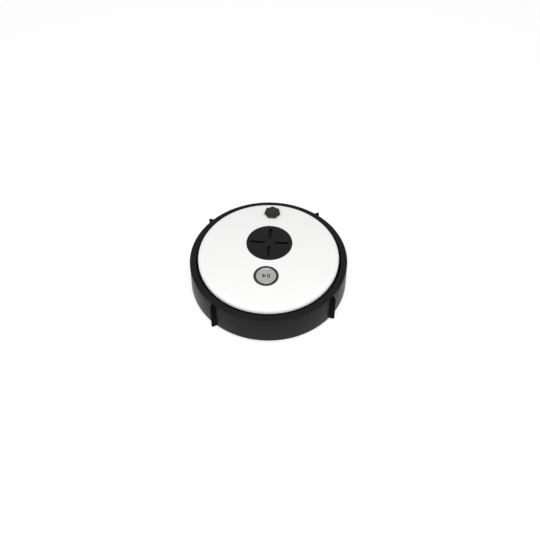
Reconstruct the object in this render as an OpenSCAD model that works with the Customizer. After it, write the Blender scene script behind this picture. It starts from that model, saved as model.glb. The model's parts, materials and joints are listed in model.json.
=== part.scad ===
// Round robot vacuum: a bumper ring round a white crowned cover, a lift-out dust cup with a slotted cap,
// a start button, a star knob, two sprung drive wheels, a caster, a roller brush and two side brushes.
// Origin on the floor under the middle of the body, +Y the way it drives, +Z up, millimetres.

/* [Body] */
// Outer radius of the bumper ring at its top
ring_r = 170; // [165:1:210]
// How much wider the ring's wall is at its foot
ring_flare = 3.4; // [0:0.1:5]
// Height of the bumper ring's wall
ring_h = 65.6; // [60:0.2:80]
// Wall thickness of the bumper ring
ring_t = 2.6; // [2:0.1:3.2]
// Width of the ring's flat top
ring_top_w = 14; // [13:0.5:18]
// Height of the body's underside above the floor
ground_gap = 10; // [9:0.5:11]
// How far the bumper ring slides back when it is hit
bumper_travel = 3.5; // [2:0.1:3.8]
// Gap between the bumper ring's top and the cover
cover_gap = 4.2; // [4.2:0.1:6]
// How far the cover's edge stands above the ring
cover_proud = 13; // [11:0.5:17]
// Rise of the crowned cover from its edge to its middle
crown_h = 3; // [1:0.5:4]
// Radius of the cover's rounded shoulder
shoulder_r = 10; // [6:0.5:12]
// Wall thickness of the cover
cover_t = 2.5; // [2:0.1:3]
// Thickness of the base tray's floor
floor_t = 2.6; // [2.2:0.1:3.2]

/* [Bumper fins] */
// Number of fins on the ring
fin_count = 4; // [2:1:6]
// Angle of the first fin from the front, clockwise
fin_turn = 36.3; // [20:0.1:60]
// How far a fin stands out of the ring
fin_out = 9.4; // [5:0.2:11]
// How far below the ring's top a fin starts
fin_drop = 1.6; // [0:0.2:3]
// Width of a fin at its root
fin_root_w = 13; // [10:0.5:16]
// Width of a fin at its rounded tip
fin_tip_w = 5; // [3:0.5:7]

/* [Dust cup] */
// Distance of the cup's axis in front of the middle
cup_y = 25.5; // [24:0.5:26]
// Outer radius of the dust cup
cup_r = 46.5; // [38:0.5:47]
// Wall thickness of the cup
cup_t = 2; // [1.6:0.1:2.6]
// How far the cap's rim covers the cup's wall
cap_lap = 3.2; // [2:0.1:4]
// Thickness of the cap's rim
cap_t = 2.8; // [2:0.1:4]
// Width of the four slots in the cap
slot_w = 6.1; // [4:0.1:8]
// Width of the air inlet in the cup's wall
inlet_w = 40; // [30:1:44]

/* [Controls] */
// Distance of the start button behind the middle
button_y = -67; // [-72:0.5:-60]
// Radius of the start button
button_r = 21; // [16:0.5:25.5]
// Width of the dark bezel round the button
bezel_w = 5.1; // [3:0.1:7]
// Travel of the start button
button_travel = 1.2; // [0.8:0.1:1.5]
// Distance of the star knob in front of the middle
knob_y = 118; // [114:0.5:122]
// Outer radius of the star knob
knob_r = 18.2; // [15:0.1:22]
// Height of the star knob
knob_h = 4.6; // [3:0.1:8]

/* [Wheels] */
// Radius of a drive wheel
wheel_r = 33; // [28:0.5:40]
// Width of a drive wheel's tyre
tyre_w = 18; // [14:0.5:20]
// Distance of each drive wheel's middle from the centre line
wheel_x = 118; // [116:0.5:120]
// Distance of the drive wheels' axis in front of the middle
wheel_y = -10; // [-14:0.5:-4]
// Length of the suspension arm from pivot to axle
arm_l = 50; // [46:0.5:52]
// Radius of the caster wheel
caster_r = 10; // [8:0.5:11]
// Distance of the caster's swivel in front of the middle
caster_y = 141.5; // [141:0.5:143]

/* [Brushes] */
// Distance of the roller brush in front of the middle
brush_y = 95; // [95:0.5:97]
// Outer radius of the roller brush
brush_r = 19; // [15.5:0.5:19.5]
// Length of the roller brush
brush_l = 122; // [100:1:124]
// Reach of a side brush's arms
side_reach = 40; // [30:1:41]

/* [Hidden] */
$fn = 96;
// Running clearance of a shaft in its bore, on the radius
run = 0.05;
// Gap between pieces that pass each other
gap = 0.3;
// A cut runs this far past the face it goes through
over = 1;

ring_z = ground_gap;
ring_top = ring_z + ring_h;
floor_top = ring_z + floor_t;
cover_r = ring_r - ring_top_w - cover_gap;
plateau_r = cover_r - shoulder_r;
cover_edge_z = ring_top + cover_proud;
cover_top = cover_edge_z + crown_h;
skirt_z = ring_top - 14;
rim_r = cover_r - cover_t - gap;
rim_t = 2.6;
rim_top = skirt_z + 5;
floor_r = ring_r - ring_t - bumper_travel - 0.4;

post_r = 4.5;
post_split = ring_top - 25;
screw_r = 1.5;
screw_l = 20;
screw_head_r = 3;
screw_grip = 6;
head_bore_r = 3.4;
thread_bore_r = 1.55;
shank_bore_r = 1.7;
post_points = [[76, 118], [-76, 118], [95, -100], [-95, -100], [0, -140], [131, 48], [-131, 48]];
guide_r = 3;

cap_r = cup_r + cap_lap;
cap_seat = cover_top - 1.7;
cap_plug = 4;
cap_chamfer = 0.8;
slot_in = 10;
slot_depth = 4.5;
fan_r = cup_r - 4.5;
fan_top = 34;
fan_eye_r = 18;
impeller_r = fan_r - 5;
impeller_z = 18;
impeller_hub_r = 9;
impeller_blades = 9;
fan_shaft_r = 2.5;
filter_r = cup_r - 14.5;
filter_h = 6;
seal_h = 1.2;
cup_z = fan_top + seal_h;
cup_top = cap_seat;
inlet_z = 50;
inlet_h = 16;
duct_t = 2;
duct_back = 13;

bezel_r = button_r + gap + bezel_w;
button_top = cover_z(-button_y) + 0.3;
bezel_bottom = button_top - 7.2;
button_skin = 2.8;
button_stem_r = 4;
button_chamfer = 0.6;
switch_h = 6.8;

knob_z = cover_z(knob_y - knob_r) + 0.4;
knob_pad_z = cover_z(knob_y) - 5.5;
knob_shaft_r = 3;
knob_lobes = 7;
encoder_w = 22;

board_z = ring_top - 13.6;
board_t = 1.6;
board_post_r = 3.5;
pilot_r = 1.25;
board_posts = [[60, -118], [-60, -118], [60, -67], [-60, -67]];

pivot_y = wheel_y - arm_l;
pivot_z = wheel_r + 3;
pin_r = 3;
ear_r = 6;
hub_r = wheel_r - 6;
hub_holes = 6;
hub_hole_r = 4.5;
tread_notches = 24;
tread_w = 2.8;
tread_depth = 2;
gearbox_x = 86;
gearbox_w = wheel_x - tyre_w / 2 - 2.5 - gearbox_x;
ear_in_x = 78;
ear_t = 3.5;
ear_out_x = wheel_x - 8;

hood_r = brush_r + 4;
hood_t = 2;
hood_end = brush_l / 2 + 4.5;
gear_x = hood_end + hood_t + 3;
gear_w = 5;
guard_t = 2.2;
bearing_r = 6;
roller_shaft_r = 3;
roller_core_r = 8.5;
roller_blades = 6;
blade_t = 2.6;
gear_m = 1;
gear_teeth = 14;
pinion_teeth = 10;
mesh_turn = 135;
// High enough for the roller to clear the ground and for its gear to clear the tray's floor
brush_z = max(brush_r + 2, floor_top + gear_m * (gear_teeth / 2 + 1) + 0.4);
mesh_d = gear_m * (gear_teeth + pinion_teeth) / 2;
pinion_y = brush_y + mesh_d * cos(mesh_turn);
pinion_z = brush_z + mesh_d * sin(mesh_turn);

side_x = 112;
side_y = 88;
side_hub_r = 8;
side_motor_r = 11;
side_motor_top = 35;
side_shaft_r = 2.5;
side_arms = 3;
side_arm_w = 4;

caster_trail = 6;
caster_w = 9;
caster_plate_z = 2 * caster_r + 1.5;
caster_plate_r = 17.5;
caster_pocket_r = caster_plate_r + 1;
caster_roof_z = caster_plate_z + 3.5;
caster_stem_r = 4;
caster_pin_r = 1.5;

battery_x = 54;
battery_y0 = -121;
battery_y1 = -63;
battery_top = 42;
door_lip = 7.7;
door_t = 1.2;
door_screw_x = battery_x + 5.4;
door_screw_y = (battery_y0 + battery_y1) / 2;
slider_x = 69;
slider_y = -98;

contact_x = 45;
contact_y = 134;
contact_w = 22;
contact_d = 9;
sensor_turns = [-72, -18, 18, 72];
sensor_w = 14;
sensor_d = 8;
sensor_r = floor_r - 3;
vent_y = -31;
vent_w = 4;
vent_l = 14;

// Height of the cover's outer face at a distance from the middle
function cover_z(d) = cover_edge_z + crown_h * (1 - pow(d / plateau_r, 2));

// The cover's outline from the middle to its foot, set in by t
function cover_line(t) = concat(
    [for (i = [0 : 8]) let (d = plateau_r * i / 8) [d, cover_z(d) - t]],
    [for (a = [80 : -10 : 0])
        [plateau_r + (shoulder_r - t) * cos(a), cover_edge_z - shoulder_r + (shoulder_r - t) * sin(a)]]);

function reversed(list) = [for (i = [len(list) - 1 : -1 : 0]) list[i]];

module box(low, high) {
    translate(low)
        cube(high - low);
}

// A plate of width w and depth d about a point
module plate_at(x, y, w, d, z0, z1) {
    box([x - w / 2, y - d / 2, z0], [x + w / 2, y + d / 2, z1]);
}

module tube(r_out, r_in, z0, z1) {
    translate([0, 0, z0])
        difference() {
            cylinder(r = r_out, h = z1 - z0);
            translate([0, 0, -over])
                cylinder(r = r_in, h = z1 - z0 + 2 * over);
        }
}

module disc(r, z0, z1) {
    translate([0, 0, z0])
        cylinder(r = r, h = z1 - z0);
}

// A cylinder along X from x0 to x1
module rod_x(r, x0, x1, y, z) {
    translate([x0, y, z])
        rotate([0, 90, 0])
            cylinder(r = r, h = x1 - x0);
}

// The right-hand piece, or its mirror image on the left
module on_side(side) {
    if (side < 0) {
        mirror([1, 0, 0])
            children();
    } else {
        children();
    }
}

module at_cup() {
    translate([0, cup_y, 0])
        children();
}

// ---- casing ----

module wheel_well() {
    tyre_in = wheel_x - tyre_w / 2;
    tyre_out = wheel_x + tyre_w / 2;
    box([gearbox_x - 3, pivot_y - 13, ring_z - over], [tyre_in, wheel_y + 21, floor_top + over]);
    box([tyre_in - over, wheel_y - wheel_r - 5, ring_z - over],
        [tyre_out + 2.5, wheel_y + wheel_r + 4, floor_top + over]);
}

module arm_ears() {
    for (x = [ear_in_x, ear_out_x])
        difference() {
            union() {
                box([x, pivot_y - ear_r, floor_top - over], [x + ear_t, pivot_y + ear_r, pivot_z]);
                rod_x(ear_r, x, x + ear_t, pivot_y, pivot_z);
            }
            rod_x(pin_r + run, x - over, x + ear_t + over, pivot_y, pivot_z);
        }
}

module tray_solid() {
    disc(floor_r, ring_z, floor_top);
    tube(rim_r, rim_r - rim_t, ring_z, rim_top);
    for (p = post_points)
        translate(p)
            disc(post_r, ring_z, post_split);
    for (p = board_posts)
        translate(p)
            disc(board_post_r, ring_z, board_z);
    for (a = [45 : 90 : 315])
        rotate(a)
            translate([floor_r - guide_r - 0.6, 0, 0])
                disc(guide_r, ring_z, ring_top - ring_t - gap);
    translate([0, caster_y, 0])
        disc(caster_pocket_r + 1.8, ring_z, caster_roof_z + 6);
    for (side = [-1, 1])
        translate([side * side_x, side_y, 0])
            disc(side_motor_r + 2, ring_z, side_motor_top + over);
    for (x = [-door_screw_x, door_screw_x])
        translate([x, door_screw_y, 0])
            disc(4, ring_z, 20);
}

module base_tray() {
    color([0.13, 0.13, 0.14])
        difference() {
            union() {
                difference() {
                    tray_solid();
                    for (side = [-1, 1])
                        on_side(side)
                            wheel_well();
                }
                for (side = [-1, 1])
                    on_side(side)
                        arm_ears();
            }
            // screw posts: a wide bore for the head and a narrow one for the shank
            for (p = post_points)
                translate(p) {
                    disc(head_bore_r, ring_z - over, post_split - screw_grip);
                    disc(shank_bore_r, ring_z, post_split + over);
                }
            for (p = board_posts)
                translate(p)
                    disc(pilot_r, board_z - 8, board_z + over);
            // roller mouth
            box([-hood_end, brush_y - hood_r, ring_z - over],
                [hood_end, brush_y + hood_r, floor_top + over]);
            // caster pocket and stem bore
            translate([0, caster_y, 0]) {
                disc(caster_pocket_r, ring_z - over, caster_roof_z);
                disc(caster_stem_r + run, ring_z, caster_roof_z + 6 + over);
            }
            // side brush motor cups
            for (side = [-1, 1])
                translate([side * side_x, side_y, 0]) {
                    disc(side_motor_r + run, floor_top, side_motor_top + 2 * over);
                    disc(4, ring_z - over, floor_top + over);
                }
            // battery bay and the rebate for its door
            box([-battery_x - 3, battery_y0 - 3, ring_z - over],
                [battery_x + 3, battery_y1 + 3, floor_top + over]);
            box([-battery_x - door_lip - gap, battery_y0 - door_lip - gap, ring_z - over],
                [battery_x + door_lip + gap, battery_y1 + door_lip + gap, ring_z + door_t]);
            for (x = [-door_screw_x, door_screw_x])
                translate([x, door_screw_y, 0])
                    disc(pilot_r, ring_z - over, 18);
            // charge contacts, cliff windows, power slider, exhaust slots
            for (x = [-contact_x, contact_x])
                plate_at(x, contact_y, contact_w + 0.4, contact_d + 0.4, ring_z - over, floor_top + over);
            for (a = sensor_turns)
                rotate(90 - a)
                    plate_at(sensor_r - sensor_d / 2, 0, sensor_d + 0.4, sensor_w + 0.4,
                        ring_z - over, floor_top + over);
            box([slider_x - 3, slider_y - 3.5, ring_z - over],
                [slider_x + 13, slider_y + 3.5, floor_top + over]);
            for (x = [-24 : 8 : 24])
                plate_at(x, vent_y, vent_w, vent_l, ring_z - over, floor_top + over);
        }
}

module top_cover() {
    inner = cover_line(cover_t);
    foot = [[cover_r, skirt_z], [cover_r - cover_t, skirt_z]];
    color([0.95, 0.95, 0.94])
        difference() {
            union() {
                rotate_extrude()
                    polygon(concat(cover_line(0), foot, reversed(inner)));
                at_cup()
                    disc(cap_r + 3, cap_seat - 7, cap_seat - 1);
                translate([0, knob_y, 0])
                    disc(9, knob_pad_z, cover_z(knob_y) - 1);
                translate([0, button_y, 0])
                    disc(bezel_r + 2.5, bezel_bottom + 1.5, cover_z(-button_y) - 1);
                for (p = post_points)
                    translate(p)
                        disc(post_r, post_split, cover_z(norm(p)) - 1);
            }
            at_cup() {
                disc(cap_r + gap, cap_seat, cover_top + over);
                disc(cup_r + 0.8, cap_seat - 10, cover_top + over);
            }
            translate([0, knob_y, 0])
                disc(knob_shaft_r + gap, knob_pad_z - over, cover_top + over);
            translate([0, button_y, 0])
                disc(bezel_r + run, bezel_bottom, cover_top + over);
            for (p = post_points)
                translate(p)
                    disc(thread_bore_r, post_split - over, post_split + screw_l - 4);
        }
}

module bumper_ring() {
    foot_r = ring_r + ring_flare;
    lip_r = ring_r - ring_top_w;
    lip_z = ring_top - ring_t;
    color([0.07, 0.07, 0.08])
        rotate_extrude()
            polygon([[foot_r, ring_z], [ring_r, ring_top], [lip_r, ring_top], [lip_r, lip_z],
                [ring_r - ring_t, lip_z], [foot_r - ring_t, ring_z]]);
}

// A fin leans out as the ring's wall does, and is longer than the wall at both ends
module fin() {
    tip = fin_out - fin_tip_w / 2;
    length = ring_h + 10;
    translate([ring_r, 0, ring_top])
        rotate([0, -atan(ring_flare / ring_h), 0])
            translate([0, 0, -ring_h - 5])
                union() {
                    linear_extrude(length)
                        polygon([[-3, -fin_root_w / 2], [tip, -fin_tip_w / 2],
                            [tip, fin_tip_w / 2], [-3, fin_root_w / 2]]);
                    translate([tip, 0, 0])
                        cylinder(r = fin_tip_w / 2, h = length);
                }
}

module bumper_fins() {
    lean = ring_flare * over / ring_h;
    color([0.09, 0.09, 0.1])
        difference() {
            intersection() {
                union() {
                    for (k = [0 : fin_count - 1])
                        rotate(90 - fin_turn - k * 360 / fin_count)
                            fin();
                }
                disc(ring_r + 2 * fin_out + ring_flare, ring_z, ring_top - fin_drop);
            }
            translate([0, 0, ring_z - over])
                cylinder(r1 = ring_r + ring_flare + lean, r2 = ring_r - lean,
                    h = ring_h + 2 * over, $fn = 720);
        }
}

// A plunger switch each side of the front, on the tray's rim, just short of the pushed-in ring
module bumper_switches() {
    z = ring_z + 35;
    color([0.2, 0.2, 0.22])
        for (a = [62, 118])
            rotate(a)
                union() {
                    box([rim_r, -6, z - 5], [rim_r + 7, 6, z + 5]);
                    rod_x(1.6, rim_r + 6, ring_r - ring_t - bumper_travel - 1.2, 0, z);
                }
}

// ---- dust cup and suction ----

module dust_cap() {
    z0 = cap_seat + 0.1;
    z1 = z0 + cap_t;
    color([0.07, 0.07, 0.08])
        at_cup()
            difference() {
                union() {
                    disc(cap_r, z0, z1 - cap_chamfer);
                    translate([0, 0, z1 - cap_chamfer])
                        cylinder(r1 = cap_r, r2 = cap_r - cap_chamfer, h = cap_chamfer);
                    disc(cup_r - cup_t - gap, cap_seat - cap_plug, cap_seat + 1);
                }
                for (a = [0 : 90 : 270])
                    rotate(a)
                        box([slot_in, -slot_w / 2, z1 - slot_depth],
                            [cap_r - 8.2, slot_w / 2, z1 + over]);
            }
}

module dust_cup() {
    color([0.3, 0.3, 0.32])
        at_cup()
            difference() {
                disc(cup_r, cup_z, cup_top);
                disc(cup_r - cup_t, cup_z + 2, cup_top + over);
                disc(filter_r - 1, cup_z - over, cup_z + 3);
                box([-inlet_w / 2, 0, inlet_z], [inlet_w / 2, cup_r + over, inlet_z + inlet_h]);
            }
}

module filter_frame() {
    color([0.15, 0.35, 0.6])
        at_cup()
            tube(cup_r - cup_t - 3, filter_r, cup_z + 2, cup_z + 2 + filter_h);
}

// A pleated filter: a disc with ridges across it
module cup_filter() {
    color([0.92, 0.92, 0.9])
        at_cup()
            intersection() {
                disc(filter_r - 0.2, cup_z + 2, cup_z + 2 + filter_h);
                union() {
                    disc(filter_r - 0.2, cup_z + 2, cup_z + 4);
                    for (y = [-filter_r + 2 : 4 : filter_r - 2])
                        box([-filter_r, y - 1, cup_z + 3], [filter_r, y + 1, cup_z + 1.5 + filter_h]);
                }
            }
}

module cup_seal() {
    color([0.12, 0.12, 0.12])
        at_cup()
            tube(cup_r - 4, filter_r + 2, fan_top, fan_top + seal_h);
}

module fan_housing() {
    color([0.25, 0.25, 0.27])
        at_cup()
            difference() {
                disc(fan_r, floor_top, fan_top);
                disc(fan_r - 2, floor_top - over, fan_top - 2);
                disc(fan_eye_r, floor_top, fan_top + over);
                box([-15, -fan_r - over, floor_top + 2], [15, 0, fan_top - 5]);
            }
}

module fan_impeller() {
    color([0.8, 0.8, 0.82])
        at_cup()
            difference() {
                union() {
                    disc(impeller_r, impeller_z, impeller_z + 1.6);
                    disc(impeller_hub_r, impeller_z, impeller_z + 11);
                    for (k = [0 : impeller_blades - 1])
                        rotate(k * 360 / impeller_blades)
                            translate([impeller_hub_r - 1, 0, 0])
                                rotate(-28)
                                    box([0, -0.7, impeller_z],
                                        [impeller_r - impeller_hub_r - 1, 0.7, impeller_z + 10]);
                }
                disc(fan_shaft_r, impeller_z - over, impeller_z + 12);
            }
}

module fan_motor() {
    color([0.45, 0.45, 0.47])
        at_cup()
            union() {
                disc(16, floor_top, impeller_z - 0.6);
                disc(fan_shaft_r - run, impeller_z - over, impeller_z + 12.5);
            }
}

// An elbow from the top of the brush hood to the cup's inlet
module intake_duct() {
    w = inlet_w / 2;
    top = inlet_z + inlet_h;
    front = brush_y + 1;
    color([0.2, 0.2, 0.22])
        difference() {
            union() {
                box([-w - duct_t, brush_y - duct_back - duct_t, brush_z],
                    [w + duct_t, front + duct_t, top + duct_t]);
                box([-w - duct_t, cup_y, inlet_z - duct_t],
                    [w + duct_t, front + duct_t, top + duct_t]);
            }
            box([-w, brush_y - duct_back, brush_z - over], [w, front, top]);
            box([-w, cup_y - over, inlet_z], [w, front, top]);
            rod_x(hood_r + hood_t, -w - 3, w + 3, brush_y, brush_z);
            at_cup()
                disc(cup_r + 1.2, inlet_z - 4, top + 4);
        }
}

// ---- controls ----

module start_button() {
    color([0.72, 0.72, 0.72])
        translate([0, button_y, 0])
            union() {
                disc(button_r, button_top - button_skin, button_top - button_chamfer);
                translate([0, 0, button_top - button_chamfer])
                    cylinder(r1 = button_r, r2 = button_r - button_chamfer, h = button_chamfer);
                disc(button_stem_r, board_z + board_t + switch_h + 0.4 + button_travel, button_top - 1);
            }
}

// A start and pause sign: a triangle and two bars
module button_symbol() {
    color([0.2, 0.2, 0.21])
        translate([0, button_y, button_top]) {
            linear_extrude(0.3)
                polygon([[-7.5, -5], [-7.5, 5], [0.5, 0]]);
            for (x = [2.5, 6])
                box([x, -5, 0], [x + 2, 5, 0.3]);
        }
}

module button_bezel() {
    color([0.12, 0.12, 0.13])
        translate([0, button_y, 0])
            union() {
                tube(bezel_r, button_r + gap, bezel_bottom, button_top + 0.2);
                tube(bezel_r, button_stem_r + gap, bezel_bottom, bezel_bottom + 1.5);
            }
}

module button_switch() {
    color([0.15, 0.15, 0.15])
        translate([0, button_y, board_z + board_t])
            union() {
                box([-6, -6, 0], [6, 6, 4.5]);
                disc(3, 4, switch_h);
            }
}

module mode_knob() {
    lobe = knob_r * 0.25;
    color([0.08, 0.08, 0.09])
        translate([0, knob_y, 0])
            union() {
                translate([0, 0, knob_z])
                    linear_extrude(knob_h)
                        union() {
                            circle(r = knob_r * 0.8);
                            for (k = [0 : knob_lobes - 1])
                                rotate(90 + k * 360 / knob_lobes)
                                    translate([knob_r - lobe, 0])
                                        circle(r = lobe);
                        }
                disc(knob_shaft_r, knob_pad_z - 7, knob_z + 1);
            }
}

module knob_encoder() {
    color([0.4, 0.42, 0.4])
        translate([0, knob_y, 0])
            difference() {
                plate_at(0, 0, encoder_w, encoder_w, knob_pad_z - 8.5, knob_pad_z);
                disc(knob_shaft_r + run, knob_pad_z - 7.5, knob_pad_z + over);
            }
}

module circuit_board() {
    color([0.05, 0.35, 0.18])
        difference() {
            union() {
                box([-65, -123, board_z], [65, -45, board_z + board_t]);
                box([-50, -112, board_z + board_t - 0.1], [-32, -94, board_z + board_t + 2]);
                box([24, -110, board_z + board_t - 0.1], [48, -98, board_z + board_t + 3]);
                box([-46, -84, board_z + board_t - 0.1], [-36, -62, board_z + board_t + 7]);
                for (x = [26 : 9 : 44])
                    translate([x, -62, 0])
                        disc(3.2, board_z + board_t - 0.1, board_z + board_t + 8);
            }
            for (p = board_posts)
                translate(p)
                    disc(shank_bore_r, board_z - over, board_z + board_t + over);
        }
}

module battery_pack() {
    color([0.16, 0.3, 0.5])
        difference() {
            box([-battery_x, battery_y0, floor_top + 0.2], [battery_x, battery_y1, battery_top]);
            for (x = [-32, 0, 32])
                box([x - 0.6, battery_y0 - over, battery_top - 1],
                    [x + 0.6, battery_y1 + over, battery_top + over]);
        }
}

module battery_door() {
    color([0.15, 0.15, 0.16])
        difference() {
            union() {
                box([-battery_x - door_lip, battery_y0 - door_lip, ring_z],
                    [battery_x + door_lip, battery_y1 + door_lip, ring_z + door_t]);
                box([-battery_x - 2.7, battery_y0 - 2.7, ring_z + 1],
                    [battery_x + 2.7, battery_y1 + 2.7, floor_top]);
            }
            for (x = [-door_screw_x, door_screw_x])
                translate([x, door_screw_y, 0])
                    disc(1.5, ring_z - over, floor_top + over);
            for (x = [-12 : 6 : 12])
                box([x - 1.2, battery_y1 - 6, ring_z - over], [x + 1.2, battery_y1 + 2, ring_z + 0.6]);
        }
}

module charge_contacts() {
    color([0.8, 0.7, 0.4])
        for (x = [-contact_x, contact_x])
            plate_at(x, contact_y, contact_w, contact_d, ring_z - 0.6, floor_top);
}

module cliff_sensors() {
    color([0.1, 0.05, 0.08])
        for (a = sensor_turns)
            rotate(90 - a)
                plate_at(sensor_r - sensor_d / 2, 0, sensor_d, sensor_w, ring_z + 0.2, floor_top + 4);
}

module power_slider() {
    color([0.75, 0.15, 0.12])
        union() {
            box([slider_x, slider_y - 2.8, ring_z - 0.8], [slider_x + 4, slider_y + 2.8, floor_top + 1]);
            box([slider_x - 3, slider_y - 5, floor_top + 0.2],
                [slider_x + 8, slider_y + 5, floor_top + 1.6]);
        }
}

module power_switch() {
    color([0.2, 0.2, 0.2])
        box([slider_x - 4, slider_y - 6, floor_top + 1.9], [slider_x + 15, slider_y + 6, floor_top + 9]);
}

module case_screws() {
    head_top = post_split - screw_grip;
    color([0.5, 0.5, 0.52])
        for (p = post_points)
            translate(p)
                union() {
                    difference() {
                        disc(screw_head_r, head_top - 2.6, head_top);
                        for (a = [0, 90])
                            rotate(a)
                                box([-2, -0.4, head_top - 3], [2, 0.4, head_top - 1.4]);
                    }
                    disc(screw_r, head_top - 0.5, head_top + screw_l);
                }
}

module door_screws() {
    color([0.5, 0.5, 0.52])
        for (x = [-door_screw_x, door_screw_x])
            translate([x, door_screw_y, 0])
                difference() {
                    union() {
                        disc(2.2, ring_z - 1.3, ring_z);
                        disc(1.2, ring_z - 0.5, 17);
                    }
                    for (a = [0, 90])
                        rotate(a)
                            box([-1.5, -0.3, ring_z - 2], [1.5, 0.3, ring_z - 0.7]);
                }
}

// ---- drive wheels ----

module drive_hub() {
    x0 = wheel_x - tyre_w / 2 + 1.5;
    x1 = wheel_x + tyre_w / 2 - 1.5;
    color([0.55, 0.55, 0.57])
        difference() {
            rod_x(hub_r, x0, x1, wheel_y, wheel_r);
            rod_x(hub_r - 3, wheel_x + 2, x1 + over, wheel_y, wheel_r);
            rod_x(pin_r, x0 - over, x1 + over, wheel_y, wheel_r);
            for (k = [0 : hub_holes - 1])
                translate([0, wheel_y, wheel_r])
                    rotate([k * 360 / hub_holes, 0, 0])
                        rod_x(hub_hole_r, x0 - over, x1 + over, hub_r - 12, 0);
        }
}

module drive_tyre() {
    x0 = wheel_x - tyre_w / 2;
    x1 = wheel_x + tyre_w / 2;
    color([0.06, 0.06, 0.06])
        difference() {
            rod_x(wheel_r, x0, x1, wheel_y, wheel_r);
            rod_x(hub_r, x0 - over, x1 + over, wheel_y, wheel_r);
            for (k = [0 : tread_notches - 1])
                translate([0, wheel_y, wheel_r])
                    rotate([k * 360 / tread_notches, 0, 0]) {
                        box([x0 - over, -tread_w / 2, wheel_r - tread_depth],
                            [wheel_x - 1, tread_w / 2, wheel_r + over]);
                        rotate([180 / tread_notches, 0, 0])
                            box([wheel_x + 1, -tread_w / 2, wheel_r - tread_depth],
                                [x1 + over, tread_w / 2, wheel_r + over]);
                    }
        }
}

module drive_axle() {
    color([0.7, 0.7, 0.72])
        rod_x(pin_r, wheel_x - 22, wheel_x + 5, wheel_y, wheel_r);
}

module drive_gearbox() {
    x1 = gearbox_x + gearbox_w;
    color([0.22, 0.22, 0.24])
        difference() {
            union() {
                rod_x(11, gearbox_x, x1, pivot_y, pivot_z);
                rod_x(15, gearbox_x, x1, wheel_y, wheel_r);
                translate([gearbox_x, 0, 0])
                    rotate([90, 0, 90])
                        linear_extrude(gearbox_w)
                            polygon([[pivot_y, pivot_z - 11], [wheel_y, wheel_r - 15],
                                [wheel_y, wheel_r + 15], [pivot_y, pivot_z + 11]]);
            }
            rod_x(pin_r + run, gearbox_x - over, x1 + over, pivot_y, pivot_z);
            rod_x(pin_r + run, wheel_x - 24, x1 + over, wheel_y, wheel_r);
        }
}

module drive_motor() {
    color([0.62, 0.62, 0.64])
        union() {
            rod_x(12, gearbox_x - 28, gearbox_x, pivot_y + 28, pivot_z + 4);
            rod_x(4, gearbox_x - 31, gearbox_x - 27, pivot_y + 28, pivot_z + 4);
        }
}

module pivot_pin() {
    color([0.7, 0.7, 0.72])
        rod_x(pin_r, ear_in_x - 2, ear_out_x + ear_t + 2, pivot_y, pivot_z);
}

// A torsion spring's coils round the pivot pin
module arm_spring() {
    color([0.6, 0.6, 0.62])
        for (k = [0 : 2])
            translate([ear_in_x + ear_t + 0.8 + k * 1.2, pivot_y, pivot_z])
                rotate([0, 90, 0])
                    rotate_extrude()
                        translate([5, 0])
                            circle(r = 0.5);
}

// ---- caster ----

module caster_fork() {
    color([0.18, 0.18, 0.19])
        translate([0, caster_y, 0])
            difference() {
                union() {
                    disc(caster_plate_r, caster_plate_z, caster_plate_z + 3);
                    disc(caster_stem_r, caster_plate_z + 2, caster_roof_z + 8);
                    for (x = [-caster_w / 2 - 2.9, caster_w / 2 + 0.4])
                        box([x, -caster_trail - 5, caster_r - 5],
                            [x + 2.5, -caster_trail + 8, caster_plate_z + 1]);
                }
                rod_x(caster_pin_r, -20, 20, -caster_trail, caster_r);
            }
}

module caster_axle() {
    color([0.7, 0.7, 0.72])
        rod_x(caster_pin_r, -caster_w / 2 - 3.2, caster_w / 2 + 3.2, caster_y - caster_trail, caster_r);
}

module caster_wheel() {
    half = caster_w / 2;
    bore = caster_pin_r + run;
    color([0.85, 0.85, 0.85])
        translate([0, caster_y - caster_trail, caster_r])
            rotate([0, 90, 0])
                rotate_extrude()
                    polygon([[bore, -half], [caster_r - 1, -half], [caster_r, -half + 1],
                        [caster_r, half - 1], [caster_r - 1, half], [bore, half]]);
}

// ---- roller brush ----

module brush_roller() {
    color([0.1, 0.35, 0.2])
        union() {
            rod_x(roller_core_r, -brush_l / 2, brush_l / 2, brush_y, brush_z);
            rod_x(roller_shaft_r, -hood_end - hood_t - 1, gear_x + gear_w + 1, brush_y, brush_z);
            for (k = [0 : roller_blades - 1])
                translate([0, brush_y, brush_z])
                    rotate([k * 360 / roller_blades, 0, 0])
                        box([-brush_l / 2 + 1, -blade_t / 2, roller_core_r - 2.5],
                            [brush_l / 2 - 1, blade_t / 2, brush_r]);
        }
}

module gear_plan(teeth, first) {
    pitch = gear_m * teeth / 2;
    root = pitch - 1.6 * gear_m;
    crest = pitch + 0.85 * gear_m;
    union() {
        circle(r = pitch - 1.15 * gear_m);
        for (k = [0 : teeth - 1])
            rotate(first + k * 360 / teeth)
                polygon([[root, -0.9 * gear_m], [pitch, -0.66 * gear_m], [crest, -0.3 * gear_m],
                    [crest, 0.3 * gear_m], [pitch, 0.66 * gear_m], [root, 0.9 * gear_m]]);
    }
}

module gear_x_way(teeth, first, bore, y, z) {
    translate([gear_x, y, z])
        rotate([90, 0, 90])
            linear_extrude(gear_w)
                difference() {
                    gear_plan(teeth, first);
                    circle(r = bore);
                }
}

module brush_gear() {
    color([0.9, 0.88, 0.8])
        gear_x_way(gear_teeth, mesh_turn, roller_shaft_r, brush_y, brush_z);
}

module brush_pinion() {
    color([0.85, 0.7, 0.35])
        gear_x_way(pinion_teeth, mesh_turn + 180 + 180 / pinion_teeth, 1.5 + run, pinion_y, pinion_z);
}

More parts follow.
